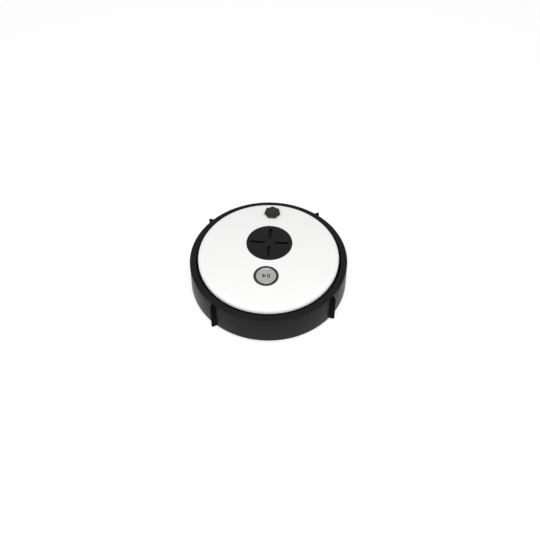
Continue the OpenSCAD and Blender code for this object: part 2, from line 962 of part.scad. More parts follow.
module brush_motor() {
    color([0.6, 0.6, 0.62])
        union() {
            rod_x(11, gear_x + gear_w + 1, gear_x + gear_w + 19, pinion_y, pinion_z);
            rod_x(1.5, gear_x - 1, gear_x + gear_w + 2, pinion_y, pinion_z);
        }
}

module brush_bearings() {
    color([0.75, 0.65, 0.4])
        for (side = [-1, 1])
            on_side(side)
                difference() {
                    rod_x(bearing_r, hood_end, hood_end + hood_t, brush_y, brush_z);
                    rod_x(roller_shaft_r + run, hood_end - over, hood_end + hood_t + over, brush_y, brush_z);
                }
}

module brush_housing() {
    end = hood_end + hood_t;
    r_out = hood_r + hood_t;
    color([0.17, 0.17, 0.18])
        difference() {
            union() {
                rod_x(r_out, -end, end, brush_y, brush_z);
                box([-end, brush_y - r_out, floor_top], [end, brush_y + r_out, brush_z]);
            }
            box([-end - over, brush_y - r_out - over, brush_z - r_out - over],
                [end + over, brush_y + r_out + over, floor_top]);
            rod_x(hood_r, -hood_end, hood_end, brush_y, brush_z);
            box([-hood_end, brush_y - hood_r, 0], [hood_end, brush_y + hood_r, brush_z]);
            rod_x(bearing_r, -end - over, end + over, brush_y, brush_z);
            box([-inlet_w / 2, brush_y - duct_back, brush_z + 5],
                [inlet_w / 2, brush_y + 1, brush_z + r_out + over]);
        }
}

// A frame round the mouth, below the floor
module brush_guard() {
    color([0.3, 0.3, 0.32])
        difference() {
            box([-hood_end - 5, brush_y - hood_r - 4, ring_z - guard_t],
                [hood_end + 5, brush_y + hood_r + 3, ring_z]);
            box([-hood_end, brush_y - hood_r, ring_z - guard_t - over],
                [hood_end, brush_y + hood_r, ring_z + over]);
        }
}

module wiper_lip() {
    color([0.08, 0.08, 0.08])
        box([-hood_end + 1, brush_y - hood_r - 3.4, ring_z - 6],
            [hood_end - 1, brush_y - hood_r - 1.4, ring_z - guard_t]);
}

// ---- side brushes ----

module side_brush(first) {
    color([0.12, 0.12, 0.13])
        translate([side_x, side_y, 0])
            union() {
                disc(side_hub_r, 4, ring_z - 0.6);
                disc(side_shaft_r - run, ring_z - 1, 22);
                for (k = [0 : side_arms - 1])
                    rotate(first + k * 360 / side_arms)
                        box([side_hub_r - 3, -side_arm_w / 2, 3.4], [side_reach, side_arm_w / 2, 5.8]);
            }
}

module side_motor() {
    color([0.6, 0.6, 0.62])
        translate([side_x, side_y, 0])
            difference() {
                disc(side_motor_r, floor_top, side_motor_top);
                disc(side_shaft_r, floor_top - over, 24);
            }
}

module left_hub() { on_side(-1) drive_hub(); }
module right_hub() { on_side(1) drive_hub(); }
module left_tyre() { on_side(-1) drive_tyre(); }
module right_tyre() { on_side(1) drive_tyre(); }
module left_axle() { on_side(-1) drive_axle(); }
module right_axle() { on_side(1) drive_axle(); }
module left_gearbox() { on_side(-1) drive_gearbox(); }
module right_gearbox() { on_side(1) drive_gearbox(); }
module left_motor() { on_side(-1) drive_motor(); }
module right_motor() { on_side(1) drive_motor(); }
module left_pivot_pin() { on_side(-1) pivot_pin(); }
module right_pivot_pin() { on_side(1) pivot_pin(); }
module left_spring() { on_side(-1) arm_spring(); }
module right_spring() { on_side(1) arm_spring(); }
module left_side_brush() { on_side(-1) side_brush(35); }
module right_side_brush() { on_side(1) side_brush(75); }
module left_side_motor() { on_side(-1) side_motor(); }
module right_side_motor() { on_side(1) side_motor(); }

base_tray();
top_cover();
bumper_ring();
bumper_fins();
bumper_switches();
dust_cap();
dust_cup();
filter_frame();
cup_filter();
cup_seal();
fan_housing();
fan_impeller();
fan_motor();
intake_duct();
start_button();
button_symbol();
button_bezel();
button_switch();
mode_knob();
knob_encoder();
circuit_board();
battery_pack();
battery_door();
charge_contacts();
cliff_sensors();
power_slider();
power_switch();
case_screws();
door_screws();
left_hub();
left_tyre();
left_axle();
left_gearbox();
left_motor();
left_pivot_pin();
left_spring();
right_hub();
right_tyre();
right_axle();
right_gearbox();
right_motor();
right_pivot_pin();
right_spring();
caster_fork();
caster_wheel();
caster_axle();
brush_roller();
brush_gear();
brush_pinion();
brush_motor();
brush_bearings();
brush_housing();
brush_guard();
wiper_lip();
left_side_brush();
right_side_brush();
left_side_motor();
right_side_motor();
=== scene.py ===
# %% [markdown]
# # A round robot vacuum
# The machine is a white crowned cover in a black bumper ring with four upright fins. On the cover stand a
# star knob, a slotted cap over the dust cup and a spun metal start button. Below are wheels, a caster and
# brushes. The engineering model gives every piece its size and place. This script makes each piece's final
# mesh and finish.

# %% Load the frame
import math
import bmesh
import bpy
from mathutils import Matrix, Quaternion, Vector
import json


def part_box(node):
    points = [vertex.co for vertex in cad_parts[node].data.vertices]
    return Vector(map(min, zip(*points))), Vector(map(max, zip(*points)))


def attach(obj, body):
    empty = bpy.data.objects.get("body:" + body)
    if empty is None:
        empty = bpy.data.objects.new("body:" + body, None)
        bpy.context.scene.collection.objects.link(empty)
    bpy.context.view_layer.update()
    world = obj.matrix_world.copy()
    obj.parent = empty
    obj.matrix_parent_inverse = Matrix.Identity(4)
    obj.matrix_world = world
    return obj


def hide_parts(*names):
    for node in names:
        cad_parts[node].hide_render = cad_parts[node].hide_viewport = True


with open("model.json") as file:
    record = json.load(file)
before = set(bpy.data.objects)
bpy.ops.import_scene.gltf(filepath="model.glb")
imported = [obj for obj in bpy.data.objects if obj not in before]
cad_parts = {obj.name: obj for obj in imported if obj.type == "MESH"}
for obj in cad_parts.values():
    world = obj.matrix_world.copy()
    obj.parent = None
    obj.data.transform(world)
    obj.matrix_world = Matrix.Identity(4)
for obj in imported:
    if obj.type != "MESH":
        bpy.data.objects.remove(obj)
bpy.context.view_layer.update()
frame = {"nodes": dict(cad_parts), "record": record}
MM = 0.001
TAU = 2 * math.pi
BODY_OF = {n: b for b, members in frame["record"]["behaviour"]["bodies"].items() for n in members}
SLOT_OF = {p["node"]: p["material_slot"] for p in frame["record"]["subparts"]}
print("nodes", len(BODY_OF), "slots", len(set(SLOT_OF.values())))

# %% [markdown]
# ## Camera
# The machine is seen from the front and well above, by a camera a little over a metre away and a few
# degrees round to the right of its centre line. The camera is placed by its angles and distance, and then
# aimed at a point in the body.

# %% Place the camera
def new_object(name, data):
    made = bpy.data.objects.new(name, data)
    bpy.context.scene.collection.objects.link(made)
    return made


AZIMUTH, ELEVATION, DISTANCE = math.radians(4.4), math.radians(50.35), 1.2
LENS, ROLL = 35.81, math.radians(-0.23)
AIM_MM = (3.1, 0, 28.7)
turn = Matrix.Rotation(AZIMUTH, 3, "Z")
aim = turn @ Vector(AIM_MM) * MM
away = turn @ Vector((0, -math.cos(ELEVATION), math.sin(ELEVATION)))
camera = new_object("camera", bpy.data.cameras.new("camera"))
camera.data.lens = LENS
camera.location = aim + away * DISTANCE
camera.rotation_mode = "QUATERNION"
camera.rotation_quaternion = (-away).to_track_quat("-Z", "Y") @ Quaternion((0, 0, 1), ROLL)
bpy.context.scene.camera = camera
print("camera at", [round(v, 3) for v in camera.location])

# %% [markdown]
# ## Node trees written as sums
# Shader and geometry trees grow long when each node is placed by hand. A small class wraps a socket, so
# that sums on values add their own Math nodes, and one method adds any other node with its settings and
# inputs.

# %% Socket and tree helpers
class Sock:
    def __init__(self, net, socket):
        self.net, self.socket = net, socket

    def math(self, operation, *others):
        terms = dict(enumerate((self, *others)))
        return self.net.add("ShaderNodeMath", {"operation": operation}, terms)

    def __add__(self, other):
        return self.math("ADD", other)

    def __mul__(self, other):
        return self.math("MULTIPLY", other)

    def __sub__(self, other):
        return self.math("SUBTRACT", other)

    def __truediv__(self, other):
        return self.math("DIVIDE", other)

    def __rsub__(self, other):
        return self.net.value(other).math("SUBTRACT", self)

    __radd__, __rmul__ = __add__, __mul__


class Net:
    """Grows one node tree."""

    def __init__(self, tree):
        self.tree = tree

    def add(self, kind, settings=None, sockets=None, out=0):
        node = self.tree.nodes.new(kind)
        for name, value in (settings or {}).items():
            setattr(node, name, value)
        for key, value in (sockets or {}).items():
            if isinstance(value, Sock):
                self.tree.links.new(value.socket, node.inputs[key])
            else:
                node.inputs[key].default_value = value
        return Sock(self, node.outputs[out]) if len(node.outputs) else node

    def value(self, number):
        node = self.tree.nodes.new("ShaderNodeValue")
        node.outputs[0].default_value = number
        return Sock(self, node.outputs[0])

    def vector(self, x=0.0, y=0.0, z=0.0):
        return self.add("ShaderNodeCombineXYZ", {}, {0: x, 1: y, 2: z})

    def split(self, vector):
        first = self.add("ShaderNodeSeparateXYZ", {}, {0: vector})
        return [Sock(self, o) for o in first.socket.node.outputs]


# %% [markdown]
# ## Finishes
# Moulded plastic is never one flat colour. Its grain is a fine bump from the spark-eroded mould, its gloss
# changes where hands and dust have been, and its colour drifts by a few per cent. A scanned texture could
# give all three, but sums of noise stay sharp at any distance and fit any shape. Each finish below is the
# same recipe with other sizes.

# %% The recipe for a moulded finish
def noise(net, where, size_mm, detail=3.0):
    return net.add("ShaderNodeTexNoise", {}, {"Vector": where, "Scale": 1 / (size_mm * MM), "Detail": detail})


def object_place(net, centre=(0, 0, 0), stretch=(1, 1, 1)):
    place = net.add("ShaderNodeTexCoord", {}, {}, out=3)
    shift = [-c * s for c, s in zip(centre, stretch)]
    return net.add("ShaderNodeMapping", {}, {"Vector": place, "Location": shift, "Scale": stretch})


def shader(name, constants):
    material = bpy.data.materials.new(name)
    material.use_nodes = True
    net = Net(material.node_tree)
    net.surface = material.node_tree.nodes["Principled BSDF"]
    for socket, value in constants.items():
        net.surface.inputs[socket].default_value = value
    return material, net


def feed(net, socket, value):
    net.tree.links.new(value.socket, net.surface.inputs[socket])


def scaled(colour, share):
    return [part * share for part in colour]


def tint(net, dark, light, share):
    """A colour between dark and light, each of which is a colour or another node's output."""
    ends = {6: dark, 7: light}
    ends = {i: end if isinstance(end, Sock) else (*end, 1) for i, end in ends.items()}
    return net.add("ShaderNodeMix", {"data_type": "RGBA"}, {0: share, **ends}, out=2)


def bump(net, height, depth_mm):
    return net.add("ShaderNodeBump", {}, {"Height": height, "Distance": depth_mm * MM, "Strength": 1.0})


PATCH_MM, SMEAR_MM = 30, 20


def moulded(name, colour, rough, grain_mm=0.5, grain_depth=0.02, drift=0.12, smear=0.06, constants=None):
    """Plastic or rubber, whose colour drifts over PATCH_MM and whose gloss changes over SMEAR_MM."""
    material, net = shader(name, constants or {})
    place = object_place(net)
    patches = noise(net, place, PATCH_MM)
    feed(net, "Base Color", tint(net, scaled(colour, 1 - drift), scaled(colour, 1 + drift), patches))
    feed(net, "Roughness", noise(net, place, SMEAR_MM, 5) * smear * 2 + (rough - smear))
    grain = noise(net, place, grain_mm, 2) + noise(net, place, grain_mm * 3, 2) * 0.6
    feed(net, "Normal", bump(net, grain, grain_depth))
    return material


# %% [markdown]
# Turned and spun pieces carry rings about their own axis. Each could be a real groove, but hundreds of
# grooves make a heavy mesh. The rings are a sine of the distance from the axis, broken by a little noise so
# that no two are alike.

# %% The recipe for a turned or spun finish
PAINTED_SHADE_SHARE, PAINTED_SHADE_FROM = 0.3, 0.3


def turned(name, colour, rough, centre, pitch_mm, depth_mm, drift=0.1, constants=None, recess=None):
    """Rings about the axis through centre. Recess is a depth in mm below centre's height where painted shade
    has darkened the colour to the first share above, standing in for the shade in a narrow slot. It starts to
    darken at the second share above of that depth."""
    material, net = shader(name, constants or {})
    x, y, z = net.split(object_place(net, centre))
    radius = (x * x + y * y).math("SQRT")
    place = object_place(net)
    waver = noise(net, place, 6, 4)
    rings = (radius * (TAU / (pitch_mm * MM)) + waver * 5.0).math("SINE") * 0.5 + 0.5
    broken = rings * 0.6 + noise(net, place, 1.2, 4) * 0.4
    shown = tint(net, scaled(colour, 1 - drift), scaled(colour, 1 + drift), broken)
    # Painted shade: below centre's height the colour darkens with depth, standing in for the shade in slots
    # and recesses.
    if recess:
        shade_bottom_z = -recess * MM
        depth = net.add("ShaderNodeMapRange", {}, {0: z, 1: shade_bottom_z, 2: PAINTED_SHADE_FROM * shade_bottom_z, 3: 0.0, 4: 1.0})
        shown = tint(net, scaled(colour, PAINTED_SHADE_SHARE), shown, depth)
    feed(net, "Base Color", shown)
    feed(net, "Roughness", broken * 0.12 + (rough - 0.06))
    feed(net, "Normal", bump(net, rings, depth_mm))
    return material


# %% [markdown]
# Drawn and ground steel shows fine streaks along one direction. The noise is squeezed along that axis,
# which costs nothing more than the plain noise does.

# %% The recipe for streaked metal
STREAK = (0.05, 1.0, 1.0)


def streaked(name, colour, rough):
    """Bare metal with streaks along X."""
    material, net = shader(name, {"Metallic": 1.0})
    streaks = noise(net, object_place(net, stretch=STREAK), 0.8, 4)
    feed(net, "Base Color", tint(net, scaled(colour, 0.86), scaled(colour, 1.08), streaks))
    feed(net, "Roughness", streaks * 0.16 + (rough - 0.08))
    feed(net, "Normal", bump(net, streaks, 0.01))
    return material


# %% [markdown]
# Each slot of the record gets one finish. The recipes are kept as plain rows of colour, roughness and
# sizes, so that two finishes can be compared at a glance.

# %% Finishes by the record's slot
def centre_of(node):
    low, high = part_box(node)
    return (low + high) / 2


def axis_of(node):
    """Where a round node's upright axis meets the ground."""
    middle = centre_of(node)
    return Vector((middle.x, middle.y, 0))


cap_at, button_at = axis_of("dust_cap"), axis_of("start_button")
cap_face = cap_at + Vector((0, 0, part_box("dust_cap")[1].z))
MOULDED = {
    "cover_white": ((0.9, 0.9, 0.895), 0.34, 9, 0.012, 0.012, 0.05,
                    {"Coat Weight": 0.3, "Coat Roughness": 0.16, "Specular IOR Level": 0.4}),
    "ring_black": ((0.0135, 0.0138, 0.0145), 0.34, 0.45, 0.012, 0.16, 0.06, {"Specular IOR Level": 0.05}),
    "fin_black": ((0.0022, 0.0022, 0.0023), 0.6, 0.5, 0.02, 0.2, 0.06, {"Specular IOR Level": 0.03}),
    "knob_black": ((0.005, 0.005, 0.0053), 0.2, 0.5, 0.004, 0.2, 0.05, {"Specular IOR Level": 0.5}),
    "symbol_dark": ((0.03, 0.03, 0.032), 0.4, 0.4, 0.01),
    "tray_black": ((0.022, 0.023, 0.025), 0.5, 0.7, 0.05, 0.15, 0.08),
    "inner_grey": ((0.09, 0.09, 0.095), 0.48, 0.8, 0.04, 0.1, 0.08),
    "cup_smoke": ((0.06, 0.065, 0.07), 0.16, 4, 0.01, 0.1, 0.05,
                  {"Coat Weight": 0.4, "Coat Roughness": 0.08}),
    "filter_blue": ((0.04, 0.13, 0.32), 0.4, 0.8, 0.03),
    "filter_paper": ((0.78, 0.77, 0.72), 0.9, 0.25, 0.08, 0.06, 0.05),
    "seal_rubber": ((0.015, 0.015, 0.016), 0.65, 0.4, 0.03),
    "tyre_rubber": ((0.014, 0.014, 0.014), 0.72, 0.5, 0.05, 0.25, 0.1),
    "hub_grey": ((0.2, 0.2, 0.205), 0.42, 0.6, 0.03),
    "caster_white": ((0.62, 0.62, 0.6), 0.38, 0.6, 0.02, 0.08),
    "fan_clear": ((0.6, 0.6, 0.62), 0.35, 0.8, 0.02),
    "bristle_green": ((0.02, 0.15, 0.07), 0.5, 0.3, 0.02, 0.3),
    "side_bristle": ((0.02, 0.02, 0.022), 0.42, 0.3, 0.02, 0.3),
    "gear_nylon": ((0.7, 0.66, 0.56), 0.45, 0.6, 0.03),
    "board_green": ((0.015, 0.13, 0.055), 0.3, 1.2, 0.03, 0.3),
    "battery_wrap": ((0.03, 0.09, 0.24), 0.22, 5, 0.1, 0.1),
    "sensor_window": ((0.02, 0.004, 0.01), 0.08, 6, 0.004),
    "slider_red": ((0.5, 0.03, 0.02), 0.4, 0.6, 0.02),
}
TURNED = {
    # The cap's last value is the depth in mm over which painted shade darkens its slots.
    "cap_black": ((0.0125, 0.0125, 0.013), 0.42, cap_face, 1.1, 0.006, 0.15,
                  {"Specular IOR Level": 0.1}, 2.4),
    "button_silver": ((0.56, 0.56, 0.555), 0.34, button_at, 2.2, 0.05, 0.14, {"Metallic": 0.85}),
    "bezel_dark": ((0.02, 0.02, 0.021), 0.28, button_at, 0.7, 0.004, 0.2, {"Specular IOR Level": 0.5}),
}
STREAKED = {
    "steel": ((0.56, 0.56, 0.57), 0.3),
    "motor_steel": ((0.5, 0.5, 0.51), 0.38),
    "brass": ((0.68, 0.48, 0.2), 0.28),
    "contact_plate": ((0.66, 0.63, 0.55), 0.18),
}
FINISH = {}
for recipe, rows in ((moulded, MOULDED), (turned, TURNED), (streaked, STREAKED)):
    FINISH.update({slot: recipe(slot, *row) for slot, row in rows.items()})
print("finishes", len(FINISH), "missing", sorted(set(SLOT_OF.values()) - set(FINISH)))

# %% [markdown]
# ## Mesh helpers
# Every finished piece is a plain mesh with its object at the origin. Outlines get real rounded corners
# rather than a bevel in the shader, because it is the thin bright line along an edge that tells the eye how
# a thing was moulded, and each corner can have its own round.

# %% Making and placing pieces
def mesh_from(bm, name):
    mesh = bpy.data.meshes.new(name)
    bm.to_mesh(mesh)
    bm.free()
    return mesh


def shade(mesh, sharp_deg=35):
    mesh.shade_smooth()
    mesh.set_sharp_from_angle(angle=math.radians(sharp_deg))


SEAM_MM = 0.0005


def tidy_mesh(mesh):
    """Closes seams and turns every face outwards."""
    bm = bmesh.new()
    bm.from_mesh(mesh)
    bmesh.ops.remove_doubles(bm, verts=bm.verts, dist=SEAM_MM * MM)
    bmesh.ops.dissolve_degenerate(bm, edges=bm.edges, dist=SEAM_MM * MM)
    bmesh.ops.recalc_face_normals(bm, faces=bm.faces)
    bm.to_mesh(mesh)
    bm.free()


def baked(obj):
    """Turns an object and its live modifiers into one plain mesh."""
    graph = bpy.context.evaluated_depsgraph_get()
    graph.update()
    mesh = bpy.data.meshes.new_from_object(obj.evaluated_get(graph))
    obj.modifiers.clear()
    obj.data = mesh
    return obj


def dress(mesh, material):
    """One finish on every face."""
    mesh.materials.clear()
    mesh.materials.append(material)
    mesh.polygons.foreach_set("material_index", [0] * len(mesh.polygons))


def ride_with(obj, node, slot):
    """Gives a piece a finish, and makes it move as a node does."""
    dress(obj.data, FINISH[slot])
    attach(obj, BODY_OF[node])
    print(obj.name, len(obj.data.polygons), "faces")


def finish_piece(obj, node):
    """Makes a piece ride in a node's place, with that node's finish."""
    ride_with(obj, node, SLOT_OF[node])
    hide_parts(node)


# %% Outlines with rounded corners
SIDE_SHARE, NEARLY_STRAIGHT = 0.49, math.radians(88)


def rounded(corners, steps=5):
    """A closed outline from (x, z, radius) corners, each rounded by an arc that touches both its sides.
    A round takes up no more than SIDE_SHARE of a side, and a corner that is nearly straight gets none."""
    points = []
    for i, (x, z, radius) in enumerate(corners):
        here = Vector((x, z))
        back = Vector(corners[i - 1][:2]) - here
        on = Vector(corners[(i + 1) % len(corners)][:2]) - here
        half = back.angle(on) / 2
        if radius == 0 or half > NEARLY_STRAIGHT:
            points.append(here)
            continue
        reach = min(radius / math.tan(half), SIDE_SHARE * back.length, SIDE_SHARE * on.length)
        back, on = back.normalized(), on.normalized()
        middle = here + (back + on).normalized() * (reach * math.tan(half) / math.sin(half))
        start, end = here + back * reach - middle, here + on * reach - middle
        sweep = start.angle_signed(end)
        points += [middle + Matrix.Rotation(-sweep * k / steps, 2) @ start for k in range(steps + 1)]
    return points


def solid_outline(corners, low, high, near=0.001):
    """The outline of a solid turning: it leaves the axis at low and comes back to it at high."""
    outside = rounded([*corners, (near, high, 0), (near, low, 0)])[:-2]
    return [(0, low), *outside, (0, high)]


# %% [markdown]
# ## A lathe in geometry nodes
# The cover, the ring, the cap and the button are all turned shapes: one outline carried round an axis. A
# Screw modifier could do it, but a tree shows each step. A grid has a column for each step round and a row
# for each outline point. Each grid point looks up its outline point, and is then swung round the axis. The
# seam and the poles are merged at the end.

# %% The lathe tree
INT, FLOAT, VECTOR = "NodeSocketInt", "NodeSocketFloat", "NodeSocketVector"


def new_tree(name, numbers):
    """A geometry tree with an outline or blank coming in, and named inputs for its sizes."""
    tree = bpy.data.node_groups.new(name, "GeometryNodeTree")
    tree.interface.new_socket("Geometry", in_out="INPUT", socket_type="NodeSocketGeometry")
    for label, kind in numbers.items():
        tree.interface.new_socket(label, in_out="INPUT", socket_type=kind)
    tree.interface.new_socket("Material", in_out="INPUT", socket_type="NodeSocketMaterial")
    tree.interface.new_socket("Geometry", in_out="OUTPUT", socket_type="NodeSocketGeometry")
    net = Net(tree)
    source = tree.nodes.new("NodeGroupInput")
    inputs = {o.name: Sock(net, o) for o in source.outputs if o.name}
    return tree, net, inputs


def close_tree(net, inputs, geometry):
    """Every tree ends in plain geometry with its finish on it."""
    plain = net.add("GeometryNodeRealizeInstances", {}, {0: geometry})
    dressed = net.add("GeometryNodeSetMaterial", {}, {"Geometry": plain, "Material": inputs["Material"]})
    end = net.tree.nodes.new("NodeGroupOutput")
    net.tree.links.new(dressed.socket, end.inputs[0])


def run_tree(tree, name, mesh, values):
    """Puts a tree on a mesh, sets its named inputs, and bakes the result to a plain mesh."""
    obj = new_object(name, mesh)
    modifier = obj.modifiers.new(tree.name, "NODES")
    modifier.node_group = tree
    where = {s.name: s.identifier for s in tree.interface.items_tree if s.in_out == "INPUT"}
    for label, value in values.items():
        modifier[where[label]] = value
    return baked(obj)


ROUNDING = 0.0001


def group_of(index, size):
    """Which group of so many points an index is in. ROUNDING keeps it out of the group before."""
    return (index / size + ROUNDING).math("FLOOR")


def lathe_tree():
    tree, net, inputs = new_tree("lathe", {"Steps": INT, "Rows": INT, "Centre": VECTOR})
    steps, rows = inputs["Steps"], inputs["Rows"]
    grid = net.add("GeometryNodeMeshGrid", {}, {"Vertices X": steps + 1, "Vertices Y": rows})
    index = net.add("GeometryNodeInputIndex")
    row = index.math("FLOORED_MODULO", rows)
    angle = group_of(index, rows) / steps * TAU
    spot = net.add("GeometryNodeInputPosition")
    looked_up = net.add("GeometryNodeSampleIndex", {"data_type": "FLOAT_VECTOR", "domain": "POINT"},
                        {"Geometry": inputs["Geometry"], "Value": spot, "Index": row})
    radius, _, height = net.split(looked_up)
    swung = net.vector(radius * angle.math("COSINE"), radius * angle.math("SINE"), height)
    placed = net.add("ShaderNodeVectorMath", {"operation": "ADD"}, {0: swung, 1: inputs["Centre"]})
    shaped = net.add("GeometryNodeSetPosition", {}, {"Geometry": grid, "Position": placed})
    sewn = net.add("GeometryNodeMergeByDistance", {}, {"Geometry": shaped, "Distance": 1e-6})
    close_tree(net, inputs, sewn)
    return tree


LATHE = lathe_tree()


def lathe(name, outline_mm, material, centre=(0, 0, 0), steps=192, closed=True):
    """Turns an outline of (radius, height) points in millimetres into a finished mesh. The centre is in
    metres, as places from the frame are, and None leaves the finish until later."""
    points = [Vector((p[0], 0, p[1])) * MM for p in outline_mm]
    if closed:
        points.append(points[0].copy())
    mesh = bpy.data.meshes.new(name)
    mesh.from_pydata(points, [], [])
    values = {"Steps": steps, "Rows": len(points), "Centre": tuple(centre), "Material": material}
    obj = run_tree(LATHE, name, mesh, values)
    tidy_mesh(obj.data)
    shade(obj.data)
    return obj


def cut(obj, *tools):
    """Takes each tool's shape out of obj."""
    for tool in tools:
        modifier = obj.modifiers.new("cut", "BOOLEAN")
        modifier.operation, modifier.solver, modifier.object = "DIFFERENCE", "EXACT", tool
    baked(obj)
    for tool in tools:
        bpy.data.objects.remove(tool)
    tidy_mesh(obj.data)
    shade(obj.data)


# %% [markdown]
# ## Bumper ring
# The ring is one moulding: a flat top and an upright wall with a slight draft, open below. It is the piece
# that takes every knock, so its edges are well rounded, with a larger round outside where it meets the
# furniture. A bevel would give every edge the same round, so the outline is turned instead, with a radius
# written at each corner.

# %% Turn the ring
ring_low, ring_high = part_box("bumper_ring")
RING_Z0, RING_TOP = ring_low.z / MM, ring_high.z / MM
RING_WALL, RING_TOP_W, RING_FLARE = 2.6, 14.0, 3.4
RING_R = ring_high.x / MM - RING_FLARE
GROOVE_DROP, GROOVE_W, GROOVE_DEPTH, GROOVE_SLOPE = 3.0, 0.8, 0.5, 0.1


def ring_face(z, inset=0.0):
    """Radius of the ring's outer face at a height."""
    return RING_R + RING_FLARE * (RING_TOP - z) / (RING_TOP - RING_Z0) - inset


inner_r, lip_z = RING_R - RING_TOP_W, RING_TOP - RING_WALL
groove_top = RING_TOP - GROOVE_DROP
groove_low = groove_top - GROOVE_W
ring = lathe("bumper_ring_moulding", rounded([
    (ring_face(RING_Z0), RING_Z0, 0.6), (ring_face(groove_low), groove_low, 0.2),
    (ring_face(groove_low, GROOVE_DEPTH), groove_low + GROOVE_SLOPE, 0.1),
    (ring_face(groove_top, GROOVE_DEPTH), groove_top - GROOVE_SLOPE, 0.1),
    (ring_face(groove_top), groove_top, 0.2), (ring_face(RING_TOP), RING_TOP, 1.8),
    (inner_r, RING_TOP, 1.0), (inner_r, lip_z, 0.5),
    (ring_face(lip_z, RING_WALL), lip_z, 1.2), (ring_face(RING_Z0, RING_WALL), RING_Z0, 0.5)]),
    FINISH["ring_black"], steps=256)
finish_piece(ring, "bumper_ring")

# %% [markdown]
# ## Fins
# Four upright fins stand out of the ring's wall. They are alike, so only one is made: a wedge with a
# rounded tip, lofted from its plan with its top and bottom edges drawn in. A geometry tree copies it round
# the ring.

# %% One fin, lofted from its plan
def loft(name, layers):
    """A closed solid through outlines of equally many points, each a list of (x, y, z) in millimetres."""
    bm = bmesh.new()
    rings = [[bm.verts.new(Vector(p) * MM) for p in layer] for layer in layers]
    for low, high in zip(rings, rings[1:]):
        for i in range(len(low)):
            j = (i + 1) % len(low)
            bm.faces.new((low[i], low[j], high[j], high[i]))
    bm.faces.new(list(reversed(rings[0])))
    bm.faces.new(rings[-1])
    mesh = mesh_from(bm, name)
    tidy_mesh(mesh)
    shade(mesh)
    return new_object(name, mesh)


FIN_COUNT, FIN_TURN_DEG, FIN_SINK, NOSE_STEPS = 4, 36.3, 1.2, 8
FIN_OUT, FIN_DROP, FIN_ROOT_W, FIN_TIP_W, FIN_EDGE = 9.4, 1.6, 13.0, 5.0, 1.3


def fin_plan(inset, z):
    """A fin's outline at a height, pointing along +X, with its root sunk in the wall."""
    tip = ring_face(z) + FIN_OUT - FIN_TIP_W / 2
    root = ring_face(z) - FIN_SINK
    half_root, half_tip = FIN_ROOT_W / 2 - inset, FIN_TIP_W / 2 - inset
    lean = math.atan2(half_root - half_tip, tip - root)
    arc = [(TAU / 4 - lean) * k / NOSE_STEPS for k in range(-NOSE_STEPS, NOSE_STEPS + 1)]
    nose = [(tip + half_tip * math.cos(a), half_tip * math.sin(a), z) for a in arc]
    return [(root, -half_root, z), *nose, (root, half_root, z)]


def edge_insets(edge, steps=5):
    """Pairs of inset and rise that run up a quarter round from a flat end to an upright side."""
    turns = [k * TAU / 4 / steps for k in range(steps + 1)]
    return [(edge * (1 - math.sin(a)), edge * (1 - math.cos(a))) for a in turns]


rise = edge_insets(FIN_EDGE)
fin_top = RING_TOP - FIN_DROP
foot_layers = [fin_plan(inset, RING_Z0 + up) for inset, up in rise]
head_layers = [fin_plan(inset, fin_top - up) for inset, up in reversed(rise)]
fin_blank = loft("fin_blank", foot_layers + head_layers)


# %% The tree that copies a blank round an axis
def copies_at(net, inputs, count, place, sockets):
    """Copies of the incoming blank, each at its own index's place."""
    line = net.add("GeometryNodeMeshLine", {}, {"Count": count, "Offset": (0.0, 0.0, 0.0)})
    points = net.add("GeometryNodeSetPosition", {}, {"Geometry": line, "Position": place})
    return net.add("GeometryNodeInstanceOnPoints", {},
                   {"Points": points, "Instance": inputs["Geometry"], **sockets})


def ring_copies_tree():
    tree, net, inputs = new_tree("ring_copies", {"Count": INT, "First Angle": FLOAT})
    angle = net.add("GeometryNodeInputIndex") / inputs["Count"] * -TAU + inputs["First Angle"]
    turned_by = {"Rotation": net.vector(0.0, 0.0, angle)}
    close_tree(net, inputs, copies_at(net, inputs, inputs["Count"], net.vector(), turned_by))
    return tree


RING_COPIES = ring_copies_tree()
fins = run_tree(RING_COPIES, "bumper_ring_fins", fin_blank.data.copy(), {
    "Count": FIN_COUNT, "First Angle": math.radians(90 - FIN_TURN_DEG), "Material": FINISH["fin_black"]})
shade(fins.data)
bpy.data.objects.remove(fin_blank)
finish_piece(fins, "bumper_fins")

# %% [markdown]
# ## Cover
# The cover is a shallow crown: its height falls with the square of the distance from the middle, and a
# large round runs it into an upright foot. It could be modelled as a squashed sphere, but a formula keeps
# it true under long highlights. It is turned as a shell, and the openings for cap, button and knob are cut
# afterwards with tools whose own edges flare, which leaves each opening with a soft lip. A thin black band
# is stuck round the foot as painted shade, so that no white shows down in the gap beside the bumper ring.

# %% Turn the cover and cut its openings
COVER_PROUD, CROWN, SHOULDER, COVER_WALL = 13.0, 3.0, 10.0, 2.5
COVER_R, COVER_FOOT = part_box("top_cover")[1].x / MM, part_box("top_cover")[0].z / MM
PLATEAU_R = COVER_R - SHOULDER
EDGE_Z = RING_TOP + COVER_PROUD


def cover_z(distance):
    """Height of the crown at a distance from the middle."""
    return EDGE_Z + CROWN * (1 - (distance / PLATEAU_R) ** 2)


def cover_line(inset, crown_steps=28, shoulder_steps=14):
    """The crown and its shoulder from the middle outwards, drawn in by inset."""
    spots = [PLATEAU_R * i / crown_steps for i in range(crown_steps + 1)]
    bend = [TAU / 4 * (1 - k / shoulder_steps) for k in range(1, shoulder_steps + 1)]
    round_r, round_z = SHOULDER - inset, EDGE_Z - SHOULDER
    crown = [(spot, cover_z(spot) - inset) for spot in spots]
    return crown + [(PLATEAU_R + round_r * math.cos(a), round_z + round_r * math.sin(a)) for a in bend]


LIP_STEPS, TOOL_OVER = 6, 8.0


